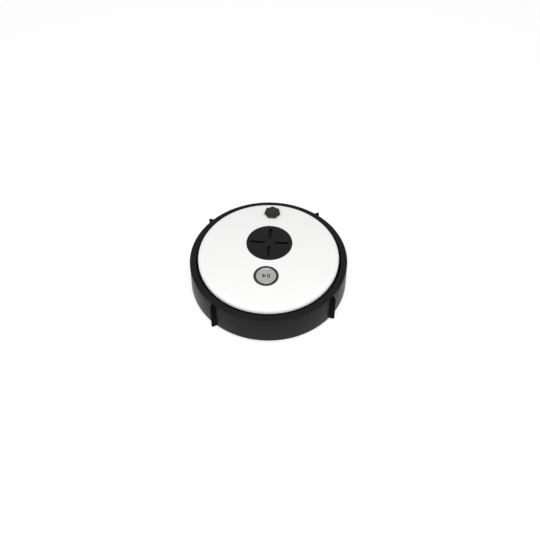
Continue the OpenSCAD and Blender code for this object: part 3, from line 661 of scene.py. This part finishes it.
def flared_tool(name, radius, z0, z1, flare, centre):
    """A cutter for a round hole whose lip at z1 is rounded outwards by flare."""
    arc = [TAU / 4 * k / LIP_STEPS for k in range(LIP_STEPS + 1)]
    lip = [(radius + flare * (1 - math.cos(a)), z1 - flare + flare * math.sin(a)) for a in arc]
    top = [(radius + flare, z1 + TOOL_OVER), (0, z1 + TOOL_OVER)]
    return lathe(name, [(0, z0), (radius, z0), *lip, *top], None, centre, 128)


foot = [(COVER_R, COVER_FOOT), (COVER_R - COVER_WALL, COVER_FOOT)]
cover = lathe("cover_shell", [*cover_line(0), *foot, *reversed(cover_line(COVER_WALL))],
              FINISH["cover_white"], steps=256, closed=False)
CAP_R, SEAT_GAP, SEAT_DEEP, CUP_HOLE_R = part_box("dust_cap")[1].x / MM, 0.3, 1.7, 47.3
CAP_SEAT = cover_z(0) - SEAT_DEEP
BEZEL_R, BEZEL_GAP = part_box("button_bezel")[1].x / MM, 0.05
KNOB_R, KNOB_HOLE_R = 18.2, 3.4
knob_at = Vector((0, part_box("mode_knob")[1].y - KNOB_R * MM, 0))
THROUGH, CUP_PASS, CAP_LIP_DROP, BUTTON_LIP_UP, KNOB_LIP_UP = 12, 2, 0.15, 0.05, 1.5
cap_lip = cover_z(cap_at.y / MM) - CAP_LIP_DROP
button_lip = cover_z(button_at.y / MM) + BUTTON_LIP_UP
OPENINGS = {  # radius, low end, lip's height and flare, centre
    "seat_tool": (CAP_R + SEAT_GAP, CAP_SEAT, cap_lip, 0.4, cap_at),
    "cup_tool": (CUP_HOLE_R, CAP_SEAT - THROUGH, CAP_SEAT + CUP_PASS, 0.1, cap_at),
    "button_tool": (BEZEL_R + BEZEL_GAP, EDGE_Z - THROUGH, button_lip, 0.35, button_at),
    "knob_tool": (KNOB_HOLE_R, EDGE_Z - THROUGH, EDGE_Z + KNOB_LIP_UP, 0.3, knob_at),
}
cut(cover, *[flared_tool(name, *sizes) for name, sizes in OPENINGS.items()])
finish_piece(cover, "top_cover")

# Painted shade: a thin black band round the cover's foot stands in for the shade down in the gap beside the
# ring.
SHADE_BAND_TOP, SHADE_BAND_T = RING_TOP - 0.4, 0.5
shade_band = lathe("cover_foot_band", rounded([
    (COVER_R, COVER_FOOT, 0), (COVER_R + SHADE_BAND_T, COVER_FOOT, 0.2),
    (COVER_R + SHADE_BAND_T, SHADE_BAND_TOP, 0.4), (COVER_R, SHADE_BAND_TOP, 0)]), FINISH["seal_rubber"], steps=256)
ride_with(shade_band, "top_cover", "seal_rubber")
print("crown at", round(cover_z(0), 1), "mm")

# %% [markdown]
# ## Dust cup cap
# The cap is a thick disc with four deep slots for fingers or a coin, and a plug that seals in the cup below.
# The slots' long edges are chamfered, which shows as a pale line beside each slot, and the cap's finish
# paints shade that darkens with depth into the slots. The cutting tool carries the chamfer, so that one cut
# makes both.

# %% Turn the cap and cut its slots
CAP_LIFT = 0.1
CAP_Z0, CAP_Z1 = CAP_SEAT + CAP_LIFT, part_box("dust_cap")[1].z / MM
PLUG_R, PLUG_Z0 = 44.2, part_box("dust_cap")[0].z / MM
SLOTS, SLOT_W, SLOT_IN, SLOT_OUT, SLOT_DEPTH, SLOT_CHAMFER = 4, 6.1, 10.0, 41.5, 4.5, 0.5
SLOT_OVER, END_STEPS = 3.0, 12


def slot_tool(name, angle, centre):
    """A slot's shape: straight sides, round ends, and a flare at the mouth."""
    def plan(grow, z):
        half = SLOT_W / 2 + grow
        ends = [(SLOT_OUT - SLOT_W / 2, -TAU / 4), (SLOT_IN + SLOT_W / 2, TAU / 4)]
        arcs = [(x, first + TAU / 2 * k / END_STEPS) for x, first in ends for k in range(END_STEPS + 1)]
        flat = [Vector((x + half * math.cos(a), half * math.sin(a), 0)) for x, a in arcs]
        spun = [Matrix.Rotation(angle, 3, "Z") @ p for p in flat]
        return [(p.x + centre.x / MM, p.y + centre.y / MM, z) for p in spun]
    heights = [(0, CAP_Z1 - SLOT_DEPTH), (0, CAP_Z1 - SLOT_CHAMFER),
               (SLOT_CHAMFER * 0.3, CAP_Z1 - SLOT_CHAMFER * 0.4), (SLOT_CHAMFER, CAP_Z1),
               (SLOT_CHAMFER, CAP_Z1 + SLOT_OVER)]
    return loft(name, [plan(grow, z) for grow, z in heights])


cap_line = solid_outline([
    (PLUG_R, PLUG_Z0, 0.8), (PLUG_R, CAP_Z0, 0.3), (CAP_R, CAP_Z0, 0.3),
    (CAP_R, CAP_Z1, 0.9)], PLUG_Z0, CAP_Z1)
cap = lathe("dust_cap_disc", cap_line, FINISH["cap_black"], cap_at, closed=False)
cut(cap, *[slot_tool(f"slot_tool_{k}", k * TAU / SLOTS, cap_at) for k in range(SLOTS)])
finish_piece(cap, "dust_cap")

# %% [markdown]
# ## Start button, bezel and sign
# The button is a spun disc with a raised rim, in a dark polished bezel with a rounded top. Its sign is the
# plain triangle and two bars of any start and pause button. It could be an image on the button, but a thin
# raised print catches the light at its edges as ink does.

# %% Turn the button and its bezel
button_low, button_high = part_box("start_button")
bezel_low, bezel_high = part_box("button_bezel")
BUTTON_R, BUTTON_Z0, BUTTON_TOP = button_high.x / MM, button_low.z / MM, button_high.z / MM
STEM_R, SKIN, RIM_W, RIM_SLOPE, RIM_H, MIDDLE_DROP = 4.0, 2.8, 2.0, 0.6, 0.4, 0.2
button_line = solid_outline([
    (STEM_R, BUTTON_Z0, 0.5), (STEM_R, BUTTON_TOP - SKIN, 0.5), (BUTTON_R, BUTTON_TOP - SKIN, 0.4),
    (BUTTON_R, BUTTON_TOP, 0.7), (BUTTON_R - RIM_W, BUTTON_TOP, 0.5),
    (BUTTON_R - RIM_W - RIM_SLOPE, BUTTON_TOP - RIM_H, 0.4)], BUTTON_Z0, BUTTON_TOP - MIDDLE_DROP)
button = lathe("start_button_disc", button_line, FINISH["button_silver"], button_at, 128, closed=False)
finish_piece(button, "start_button")

BEZEL_Z0, BEZEL_TOP, BEZEL_PLAY, BEZEL_FLOOR = bezel_low.z / MM, bezel_high.z / MM, 0.3, 1.5
stem_hole, button_hole = STEM_R + BEZEL_PLAY, BUTTON_R + BEZEL_PLAY
bezel = lathe("button_bezel_ring", rounded([
    (stem_hole, BEZEL_Z0, 0.3), (BEZEL_R, BEZEL_Z0, 0.3), (BEZEL_R, BEZEL_TOP, 1.1),
    (button_hole, BEZEL_TOP, 0.8), (button_hole, BEZEL_Z0 + BEZEL_FLOOR, 0.3),
    (stem_hole, BEZEL_Z0 + BEZEL_FLOOR, 0.3)]), FINISH["bezel_dark"], button_at, 128)
finish_piece(bezel, "button_bezel")

# %% Raise the sign on the button
SIGN_SUNK, SIGN_PROUD, SIGN_ROUND, SIGN_H = 0.35, 0.1, 0.5, 5


def sign_part(name, corners):
    x0, y0 = button_at.x / MM, button_at.y / MM
    low, high = BUTTON_TOP - SIGN_SUNK, BUTTON_TOP + SIGN_PROUD
    plan = rounded([(x, y, SIGN_ROUND) for x, y in corners], 3)
    return loft(name, [[(x0 + p.x, y0 + p.y, z) for p in plan] for z in (low, high)])


def joined(name, objects):
    """Puts several meshes into one object."""
    bm = bmesh.new()
    for part in objects:
        bm.from_mesh(part.data)
    mesh = mesh_from(bm, name)
    for part in objects:
        bpy.data.objects.remove(part)
    shade(mesh)
    return new_object(name, mesh)


sign = joined("start_sign", [
    sign_part("sign_triangle", [(-7.5, -SIGN_H), (0.5, 0), (-7.5, SIGN_H)]),
    sign_part("sign_bar_near", [(2.5, -SIGN_H), (4.5, -SIGN_H), (4.5, SIGN_H), (2.5, SIGN_H)]),
    sign_part("sign_bar_far", [(6, -SIGN_H), (8, -SIGN_H), (8, SIGN_H), (6, SIGN_H)])])
finish_piece(sign, "button_symbol")

# %% [markdown]
# ## Star knob
# The knob has seven lobes. Its outline is a formula rather than fourteen drawn arcs: a round valley circle,
# plus a lobe that rises with the root of a cosine of seven times the angle. Layers of that outline, drawn
# in towards top and bottom, give the rounded edge, and a raised round pad with a groove about it finishes
# the top.

# %% Loft the knob
knob_low, knob_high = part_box("mode_knob")
LOBES, KNOB_VALLEY, KNOB_TOP, KNOB_H = 7, 15.7, knob_high.z / MM, 4.6
KNOB_SHAFT_R, SHAFT_Z0 = 3.0, knob_low.z / MM
FOOT_ROUND, BRIM_ROUND, BRIM_DROP, PAD_ROUND, PAD_INSET = 0.4, 1.5, 0.5, 0.6, 3.7
KNOB_GROOVE = [(2.6, 0.6, 0.25), (3.1, 0.9, 0.0), (3.6, 0.9, 0.0)]  # inset, drop, share of the lobes left


def knob_ring(inset, z, lobe_share=1.0, count=280):
    """The star's outline at a height."""
    points = []
    for k in range(count):
        a = TAU * k / count
        lobe = (0.5 + 0.5 * math.cos(LOBES * (a - TAU / 4))) ** 0.5
        star = KNOB_VALLEY + (KNOB_R - KNOB_VALLEY) * lobe * lobe_share - inset
        points.append((knob_at.x / MM + star * math.cos(a), knob_at.y / MM + star * math.sin(a), z))
    return points


base_z = KNOB_TOP - KNOB_H
skirt = [knob_ring(inset, base_z + up) for inset, up in edge_insets(FOOT_ROUND)]
brim = [knob_ring(inset, KNOB_TOP - BRIM_DROP - up) for inset, up in reversed(edge_insets(BRIM_ROUND, 7))]
groove = [knob_ring(inset, KNOB_TOP - drop, share) for inset, drop, share in KNOB_GROOVE]
pad = [knob_ring(PAD_INSET + inset, KNOB_TOP - up, 0.0) for inset, up in reversed(edge_insets(PAD_ROUND))]
knob_star = loft("knob_star", skirt + brim + groove + pad)
shaft_line = [(0, SHAFT_Z0), (KNOB_SHAFT_R, SHAFT_Z0), (KNOB_SHAFT_R, base_z + 1), (0, base_z + 1)]
knob_shaft = lathe("knob_shaft", shaft_line, None, knob_at, 48, closed=False)
knob = joined("mode_knob_star", [knob_star, knob_shaft])
finish_piece(knob, "mode_knob")

# %% [markdown]
# ## Roller brush
# The roller is a core with three rubber blades and three rows of bristle tufts between them. Blades and
# rows run as a shallow V, so that the hair they lift is carried to the middle, where the air inlet is. The
# blades are lofted along the core, because a modifier that twists a flat strip would thin its lip. The
# tufts are one small blank, which a geometry tree sets along the V with a little scatter.

# %% Turn the core and loft the blades
def along_x(obj, centre_mm):
    """Lays a piece that was made about +Z along the X axis, and carries it to its place."""
    obj.data.transform(Matrix.Translation(Vector(centre_mm) * MM) @ Matrix.Rotation(TAU / 4, 4, "Y"))
    return obj


roller_low, roller_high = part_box("brush_roller")
ROLLER_Y, ROLLER_Z = (roller_low.y + roller_high.y) / 2 / MM, (roller_low.z + roller_high.z) / 2 / MM
ROLLER_L, ROLLER_R, CORE_R, SHAFT_R, ROWS = 122.0, 18.9, 8.5, 3.0, 3
V_TWIST, BLADE_SHARE = math.radians(34), 0.985
half_l, near_end, far_end = ROLLER_L / 2, roller_low.x / MM, roller_high.x / MM
core_line = rounded([
    (SHAFT_R, near_end, 0.5), (SHAFT_R, -half_l, 0.2), (CORE_R, -half_l, 1.2), (CORE_R, half_l, 1.2),
    (SHAFT_R, half_l, 0.2), (SHAFT_R, far_end, 0.5), (0, far_end, 0), (0, near_end, 0)])
core = along_x(lathe("roller_core", core_line, None, steps=64), (0, ROLLER_Y, ROLLER_Z))


def blade(name, first, steps=36):
    """A rubber blade: thick at its root, thin at its rounded lip."""
    flank = [(1.3, CORE_R - 0.6), (0.9, CORE_R + 3), (0.6, ROLLER_R - 0.5), (0.3, ROLLER_R)]
    section = [(-side, up) for side, up in flank] + flank[::-1]
    layers = []
    for k in range(steps + 1):
        x = half_l * (2 * k / steps - 1) * BLADE_SHARE
        a = first + V_TWIST * abs(x) / half_l
        layers.append([(x, ROLLER_Y + up * math.cos(a) - side * math.sin(a),
                        ROLLER_Z + up * math.sin(a) + side * math.cos(a)) for side, up in section])
    return loft(name, layers)


blades = [blade(f"roller_blade_{k}", (k + 0.5) * TAU / ROWS) for k in range(ROWS)]
print("blades", ROWS, "faces each", len(blades[0].data.polygons))


# %% The tufts, set along the V by a geometry tree
def tuft_blank(name, bristles, length, spread, thick):
    """A tuft: a few thin tapered bristles that open out from one root, pointing along +Y."""
    def spoke(angle):
        return Vector((math.cos(angle), 0, math.sin(angle)))

    bm = bmesh.new()
    for k in range(bristles):
        outwards = spoke(TAU * k / bristles)
        root = outwards * thick
        tip = root + outwards * spread + Vector((0, length, 0))
        ends = []
        for where, width in ((root, thick), (tip, thick * 0.5)):
            ends.append([bm.verts.new((where + spoke(TAU * i / 3) * width) * MM) for i in range(3)])
        for i in range(3):
            j = (i + 1) % 3
            bm.faces.new((ends[0][i], ends[1][i], ends[1][j], ends[0][j]))
        bm.faces.new(ends[0])
        bm.faces.new(list(reversed(ends[1])))
    bmesh.ops.recalc_face_normals(bm, faces=bm.faces)
    return mesh_from(bm, name)


def share_along(index, per_row):
    """A point's place along its own row, from -1 to 1."""
    return index.math("FLOORED_MODULO", per_row) / (per_row - 1) * 2.0 - 1.0


def chance(net, low, high, seed):
    settings = {"data_type": "FLOAT"}
    return net.add("FunctionNodeRandomValue", settings, {"Min": low, "Max": high, "Seed": seed}, out=1)


def tuft_rows_tree():
    tree, net, inputs = new_tree("tuft_rows", {
        "Rows": INT, "Per Row": INT, "Length": FLOAT, "Root Radius": FLOAT, "Twist": FLOAT, "Scatter": FLOAT,
        "Seed": INT})
    index = net.add("GeometryNodeInputIndex")
    per_row, radius = inputs["Per Row"], inputs["Root Radius"]
    share = share_along(index, per_row)
    scatter = chance(net, -1.0, 1.0, inputs["Seed"]) * inputs["Scatter"]
    along_v = group_of(index, per_row) / inputs["Rows"] * TAU + share.math("ABSOLUTE") * inputs["Twist"]
    angle = along_v + scatter
    along = share * inputs["Length"] / 2.0
    place = net.vector(along, radius * angle.math("COSINE"), radius * angle.math("SINE"))
    turned_by = {"Rotation": net.vector(angle, 0.0, scatter)}
    close_tree(net, inputs, copies_at(net, inputs, inputs["Rows"] * per_row, place, turned_by))
    return tree


TUFT_ROWS = tuft_rows_tree()
tuft = tuft_blank("roller_tuft", bristles=7, length=ROLLER_R - CORE_R - 0.4, spread=0.9, thick=0.28)
tufts = run_tree(TUFT_ROWS, "roller_tufts", tuft, {
    "Rows": ROWS, "Per Row": 62, "Length": (ROLLER_L - 5) * MM, "Root Radius": (CORE_R - 0.3) * MM,
    "Twist": V_TWIST, "Scatter": 0.05, "Seed": 4, "Material": FINISH["bristle_green"]})
tufts.data.transform(Matrix.Translation((0, ROLLER_Y * MM, ROLLER_Z * MM)))
finish_piece(joined("roller_core_and_tufts", [core, tufts]), "brush_roller")
ride_with(joined("roller_blades", blades), "brush_roller", "seal_rubber")

# %% [markdown]
# ## Dust wall
# Behind the bumper ring the tray has a thin upright wall, which keeps dust out of the works. Without it,
# light would fall straight through the gap beside the ring. A plain tube would do, but its top edge can be
# seen, so it is turned with a small round there.

# %% Turn the dust wall
WALL_R, WALL_T = 161.4, 0.8
WALL_Z0, WALL_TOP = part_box("battery_door")[1].z / MM, RING_TOP - 3.2
dust_wall = lathe("tray_dust_wall", rounded([
    (WALL_R - WALL_T, WALL_Z0, 0), (WALL_R, WALL_Z0, 0), (WALL_R, WALL_TOP, 0.3),
    (WALL_R - WALL_T, WALL_TOP, 0.3)]), FINISH["tray_black"])
ride_with(dust_wall, "base_tray", "tray_black")

# %% [markdown]
# ## Side brushes
# Each side brush is a moulded hub with three soft arms, and each arm ends in a fan of long bristles that
# droop to the floor. A hair system could grow the bristles, but hair isn't a mesh that another program can
# read. The arms are lofted, and a geometry tree spreads the bristles with a fixed seed.

# %% Hub, arms and bristle fans
SIDE_ARMS, SIDE_REACH, SLEEVE_OUT, SLEEVE_Z, SLEEVE_FALL = 3, 39.2, 19.0, 5.4, 0.05
SLEEVE = [(5.0, 3.2, 1.9), (9.0, 2.9, 1.8), (14.0, 2.2, 1.45), (18.0, 2.0, 1.25),
          (SLEEVE_OUT, 1.4, 0.8)]  # distance out, half width, half height
SIDE_HUB_R, HUB_LOW, HUB_TOP, SPINDLE_R = 8.0, 4.0, 9.4, 2.4
BOSS_R, HUB_RIM_W, HUB_HOLLOW, HOLLOW_SLOPE = 3.2, 1.2, 0.8, 0.4
ROOT_SPREAD, ROOT_PLAY, HEIGHT_PLAY, DROOP_PLAY, SHORTEST = 0.06, 0.0012, 0.0007, 0.03, 0.93
BRISTLE_L, BRISTLE_ROOT, BRISTLE_Z = SIDE_REACH - SLEEVE_OUT + 1.6, SLEEVE_OUT - 1.8, 4.4


def fan_tree():
    tree, net, inputs = new_tree("bristle_fans", {
        "Arms": INT, "Per Arm": INT, "First Angle": FLOAT, "Root Radius": FLOAT, "Height": FLOAT,
        "Spread": FLOAT, "Droop": FLOAT, "Seed": INT})
    index = net.add("GeometryNodeInputIndex")
    per_arm, seed = inputs["Per Arm"], inputs["Seed"]
    share = share_along(index, per_arm)
    middle = group_of(index, per_arm) / inputs["Arms"] * TAU + inputs["First Angle"]
    angle = middle + share * inputs["Spread"]
    at_root = middle + share * ROOT_SPREAD
    radius = inputs["Root Radius"] + chance(net, -ROOT_PLAY, ROOT_PLAY, seed + 1)
    height = inputs["Height"] + chance(net, -HEIGHT_PLAY, HEIGHT_PLAY, seed + 2)
    droop = inputs["Droop"] + chance(net, -DROOP_PLAY, DROOP_PLAY, seed + 3)
    sockets = {"Rotation": net.vector(droop * -1.0, 0.0, angle - TAU / 4),
               "Scale": chance(net, SHORTEST, 1.0, seed + 4)}
    place = net.vector(radius * at_root.math("COSINE"), radius * at_root.math("SINE"), height)
    close_tree(net, inputs, copies_at(net, inputs, inputs["Arms"] * per_arm, place, sockets))
    return tree


BRISTLE_FANS = fan_tree()
AXIS_OF = {j["child"]: j["pos_m"] for j in frame["record"]["behaviour"]["joints"] if "pos_m" in j}


def side_brush(node, first_deg, seed):
    """A whole side brush, with its first arm at first_deg and its bristles scattered by seed."""
    x0, y0, first = AXIS_OF[BODY_OF[node]][0], AXIS_OF[BODY_OF[node]][1], math.radians(first_deg)
    hollow_z, spindle_top = HUB_LOW + HUB_HOLLOW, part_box(node)[1].z / MM
    hub = lathe(node + "_hub", rounded([
        (0.001, HUB_LOW, 0), (BOSS_R, HUB_LOW, 0.3), (BOSS_R + HOLLOW_SLOPE, hollow_z, 0.3),
        (SIDE_HUB_R - HUB_RIM_W - HOLLOW_SLOPE, hollow_z, 0.3), (SIDE_HUB_R - HUB_RIM_W, HUB_LOW, 0.4),
        (SIDE_HUB_R, HUB_LOW, 0.8), (SIDE_HUB_R, HUB_TOP, 0.5), (SPINDLE_R, HUB_TOP, 0.3),
        (SPINDLE_R, spindle_top, 0.4), (0.001, spindle_top, 0)]), None, (x0, y0, 0), 72)
    parts = [hub]
    for k in range(SIDE_ARMS):
        a = first + k * TAU / SIDE_ARMS
        out, across = Vector((math.cos(a), math.sin(a), 0)), Vector((-math.sin(a), math.cos(a), 0))
        layers = []
        for reach, half_w, half_h in SLEEVE:
            spot = Vector((x0 / MM, y0 / MM, SLEEVE_Z - SLEEVE_FALL * reach)) + out * reach
            oval = [(half_w * math.cos(TAU * i / 16), half_h * math.sin(TAU * i / 16)) for i in range(16)]
            layers.append([spot + across * u + Vector((0, 0, v)) for u, v in oval])
        parts.append(loft(f"{node}_sleeve_{k}", layers))
    bristle = tuft_blank(node + "_bristle", bristles=2, length=BRISTLE_L, spread=0.25, thick=0.24)
    fans = run_tree(BRISTLE_FANS, node + "_fans", bristle, {
        "Arms": SIDE_ARMS, "Per Arm": 30, "First Angle": first, "Root Radius": BRISTLE_ROOT * MM,
        "Height": BRISTLE_Z * MM, "Spread": math.radians(13), "Droop": math.radians(6.5), "Seed": seed,
        "Material": FINISH["side_bristle"]})
    fans.data.transform(Matrix.Translation((x0, y0, 0)))
    finish_piece(joined(node + "_bristled", [*parts, fans]), node)


side_brush("right_side_brush", 75, 11)
side_brush("left_side_brush", 35, 23)

# %% [markdown]
# ## Tyres
# A drive tyre is a rubber band with rounded shoulders and a row of V-shaped lugs. The lugs could be a bump
# in the finish, but they show in outline at the edge of the wheel. The body is turned, one pair of lugs is
# lofted, and the ring tree made for the fins copies the pair round the tyre.

# %% Turn the tyre and copy its lugs
TYRE_LUGS, LUG_R, LUG_LOW, TREAD_UP, BEAD_R = 26, 32.85, 30.6, 0.6, 27.0
WALL_DROP, SHOULDER_W, GUTTER_TOP, GUTTER_FOOT = 0.8, 2.2, 1.2, 0.6
LUG_NEAR, LUG_FAR, LUG_LEAN, LUG_HALF = 0.4, 8.3, 2.3, 1.35


def lug(name, side):
    """One half of a V, on the outside of a tyre whose axis is +Z."""
    def plan(radius, inset):
        near, far, half = LUG_NEAR + inset, LUG_FAR - inset, LUG_HALF - inset
        corners = [(-half, near), (half, near), (half + LUG_LEAN, far), (LUG_LEAN - half, far)]
        flat = [(radius, across, side * along) for across, along in corners]
        return flat if side > 0 else flat[::-1]
    return loft(name, [plan(LUG_LOW, -0.3), plan(LUG_R - 0.4, 0.0), plan(LUG_R, 0.35)])


def tyre(node):
    low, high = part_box(node)
    half, tread_r = (high.x - low.x) / 2 / MM, LUG_LOW + TREAD_UP
    side = [(BEAD_R, half, 0.4), (LUG_LOW - WALL_DROP, half, 1.6), (tread_r, half - SHOULDER_W, 1.2),
            (tread_r, GUTTER_TOP, 0.3), (LUG_LOW, GUTTER_FOOT, 0.2)]  # radius, way out from the middle, round
    tread_line = rounded([(radius, -out, soft) for radius, out, soft in side] + side[::-1])
    tread = lathe(node + "_band", tread_line, None, steps=120)
    pair = joined(node + "_pair", [lug(node + "_lug_in", -1), lug(node + "_lug_out", 1)])
    lugs = run_tree(RING_COPIES, node + "_lugs", pair.data.copy(), {
        "Count": TYRE_LUGS, "First Angle": 0.0, "Material": FINISH["tyre_rubber"]})
    bpy.data.objects.remove(pair)
    finish_piece(along_x(joined(node + "_rubber", [tread, lugs]), centre_of(node) / MM), node)


tyre("left_tyre")
tyre("right_tyre")

# %% [markdown]
# ## Screws
# The case and door screws have domed heads with a cross recess. They could be separate objects, but a screw
# moves with its case and has one finish, so one mesh holds them all. One screw is turned and cut, and a
# geometry tree puts a copy at each point of a small mesh that holds only the screws' places.

# %% One screw, copied to its places
def point_copies_tree():
    tree, net, inputs = new_tree("point_copies", {"Blank": "NodeSocketObject"})
    blank = net.add("GeometryNodeObjectInfo", {}, {"Object": inputs["Blank"]}, out="Geometry")
    copies = net.add("GeometryNodeInstanceOnPoints", {}, {"Points": inputs["Geometry"], "Instance": blank})
    close_tree(net, inputs, copies)
    return tree


POINT_COPIES = point_copies_tree()


def bar(name, length, width, z0, z1, turn_by):
    """A straight bar about the Z axis, a little wider at its low end, for cutting recesses."""
    def plan(grow, z):
        corners = [(-1, -1), (1, -1), (1, 1), (-1, 1)]
        flat = [Vector((sx * (length / 2 + grow), sy * (width / 2 + grow), z)) for sx, sy in corners]
        return [Matrix.Rotation(turn_by, 3, "Z") @ p for p in flat]
    return loft(name, [plan(0.25, z0), plan(0, z1)])


CROSS_SHARE, CROSS_W, CROSS_OVER = 1.25, 0.8, 1.0
DOME_SHARE, DOME_FACE, DOME_EDGE = 0.55, 0.05, 0.5


def screws(node, head_r, head_h, shank_r, places):
    """Screws that stand on their heads, as they do in the underside of the case."""
    low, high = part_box(node)
    length = (high.z - low.z) / MM
    blank = lathe(node + "_blank", rounded([
        (0.001, 0, 0), (head_r * DOME_SHARE, DOME_FACE, 0.3), (head_r, DOME_EDGE, 0.5),
        (head_r, head_h, 0.15), (shank_r, head_h, 0.1), (shank_r, length, 0.4), (0.001, length, 0)]),
        None, steps=40)
    cut(blank, *[bar(f"cross_{k}", head_r * CROSS_SHARE, CROSS_W, -CROSS_OVER, head_h / 2, k * TAU / 4)
                 for k in range(2)])
    spots = bpy.data.meshes.new(node + "_places")
    spots.from_pydata([Vector((x, y, low.z / MM)) * MM for x, y in places], [], [])
    made = run_tree(POINT_COPIES, node + "_turned", spots, {"Blank": blank, "Material": FINISH["steel"]})
    bpy.data.objects.remove(blank)
    shade(made.data)
    finish_piece(made, node)


POSTS = [(76, 118), (-76, 118), (95, -100), (-95, -100), (0, -140), (131, 48), (-131, 48)]
DOOR_POSTS = [(-59.4, -92.0), (59.4, -92.0)]
screws("case_screws", 3.0, 2.6, 1.5, POSTS)
screws("door_screws", 2.2, 1.3, 1.2, DOOR_POSTS)

# %% [markdown]
# ## Softened mouldings
# Small mouldings keep their engineering shape, and only lose their knife edges. They could be drawn anew as
# the large pieces are, but their shapes are already right. A copy of each is merged, its flat faces are
# joined up, and a narrow bevel is put on every edge that turns by more than forty degrees.

# %% Bevel copies of the small mouldings
WELD_MM, FLAT_DEG, EDGE_DEG, SOFT_SHARP_DEG = 0.001, 0.5, 40, 20


def softened(node, width_mm):
    bm = bmesh.new()
    bm.from_mesh(frame["nodes"][node].data)
    bmesh.ops.remove_doubles(bm, verts=bm.verts, dist=WELD_MM * MM)
    bmesh.ops.dissolve_limit(bm, angle_limit=math.radians(FLAT_DEG), verts=bm.verts, edges=bm.edges)
    obj = new_object(node + "_soft", mesh_from(bm, node + "_soft"))
    bevel = obj.modifiers.new("edges", "BEVEL")
    bevel.limit_method, bevel.angle_limit = "ANGLE", math.radians(EDGE_DEG)
    bevel.width, bevel.segments = width_mm * MM, 2
    baked(obj)
    shade(obj.data, SOFT_SHARP_DEG)
    finish_piece(obj, node)


BEVEL_MM = {"brush_guard": 0.6, "battery_door": 0.4, "charge_contacts": 0.5, "power_slider": 0.4,
            "caster_fork": 0.4, "wiper_lip": 0.4, "battery_pack": 2.0, "brush_housing": 0.4}
for node, width in BEVEL_MM.items():
    softened(node, width)

# %% [markdown]
# ## The pieces that keep their engineering mesh
# Every other piece is already the right shape. Copying its mesh would gain nothing, so the finish goes on
# the engineering piece itself.

# %% Put finishes on the kept pieces
kept = [name for name, cad in frame["nodes"].items() if not cad.hide_render]
for name in kept:
    cad = frame["nodes"][name]
    if not cad.material_slots:
        cad.data.materials.append(None)
    for place in cad.material_slots:
        place.material = FINISH[SLOT_OF[name]]
print("kept pieces", len(kept))

# %% [markdown]
# ## Studio
# A pale floor and a pale sky with one large soft lamp: the light of a product table. A studio's
# curved sheet would do the same, but a flat glowing floor has no horizon to hide. The floor is clear from
# below, so that the underside can be looked at too.

# %% Floor, sky and lamp
FLOOR_HALF, FLOOR_GREY, FLOOR_GLOW, SKY_GLOW = 40, 0.5, 0.62, 0.68
LAMP_AT, LAMP_AIM, LAMP_SIZE, LAMP_POWER = Vector((0.05, -0.7, 1.05)), Vector((0, 0, 0.05)), 0.9, 7.4

floor_mesh = bpy.data.meshes.new("floor")
floor_corners = [(x * FLOOR_HALF, y * FLOOR_HALF, 0) for x, y in ((-1, -1), (1, -1), (1, 1), (-1, 1))]
floor_mesh.from_pydata(floor_corners, [], [(0, 1, 2, 3)])
floor = new_object("floor", floor_mesh)
floor_material, floor_net = shader("floor_pale", {
    "Base Color": (FLOOR_GREY, FLOOR_GREY, FLOOR_GREY, 1), "Roughness": 0.9, "Specular IOR Level": 0.0,
    "Emission Color": (1, 1, 1, 1), "Emission Strength": FLOOR_GLOW})
below = floor_net.add("ShaderNodeNewGeometry", {}, {}, out=6)
lit = Sock(floor_net, floor_net.surface.outputs[0])
clear = floor_net.add("ShaderNodeBsdfTransparent")
two_sided = floor_net.add("ShaderNodeMixShader", {}, {0: below, 1: lit, 2: clear})
floor_net.tree.links.new(two_sided.socket, floor_net.tree.nodes["Material Output"].inputs[0])
floor.data.materials.append(floor_material)

sky = bpy.data.worlds.new("sky")
bpy.context.scene.world = sky
sky.use_nodes = True
sky.node_tree.nodes["Background"].inputs[0].default_value = (1, 1, 1, 1)
sky.node_tree.nodes["Background"].inputs[1].default_value = SKY_GLOW

lamp = new_object("key", bpy.data.lights.new("key", "AREA"))
lamp.data.size, lamp.data.energy = LAMP_SIZE, LAMP_POWER
lamp.location = LAMP_AT
lamp.rotation_mode = "QUATERNION"
lamp.rotation_quaternion = (LAMP_AIM - LAMP_AT).to_track_quat("-Z", "Y")
bpy.context.scene.view_settings.view_transform = "Standard"

# %% Import json
import json
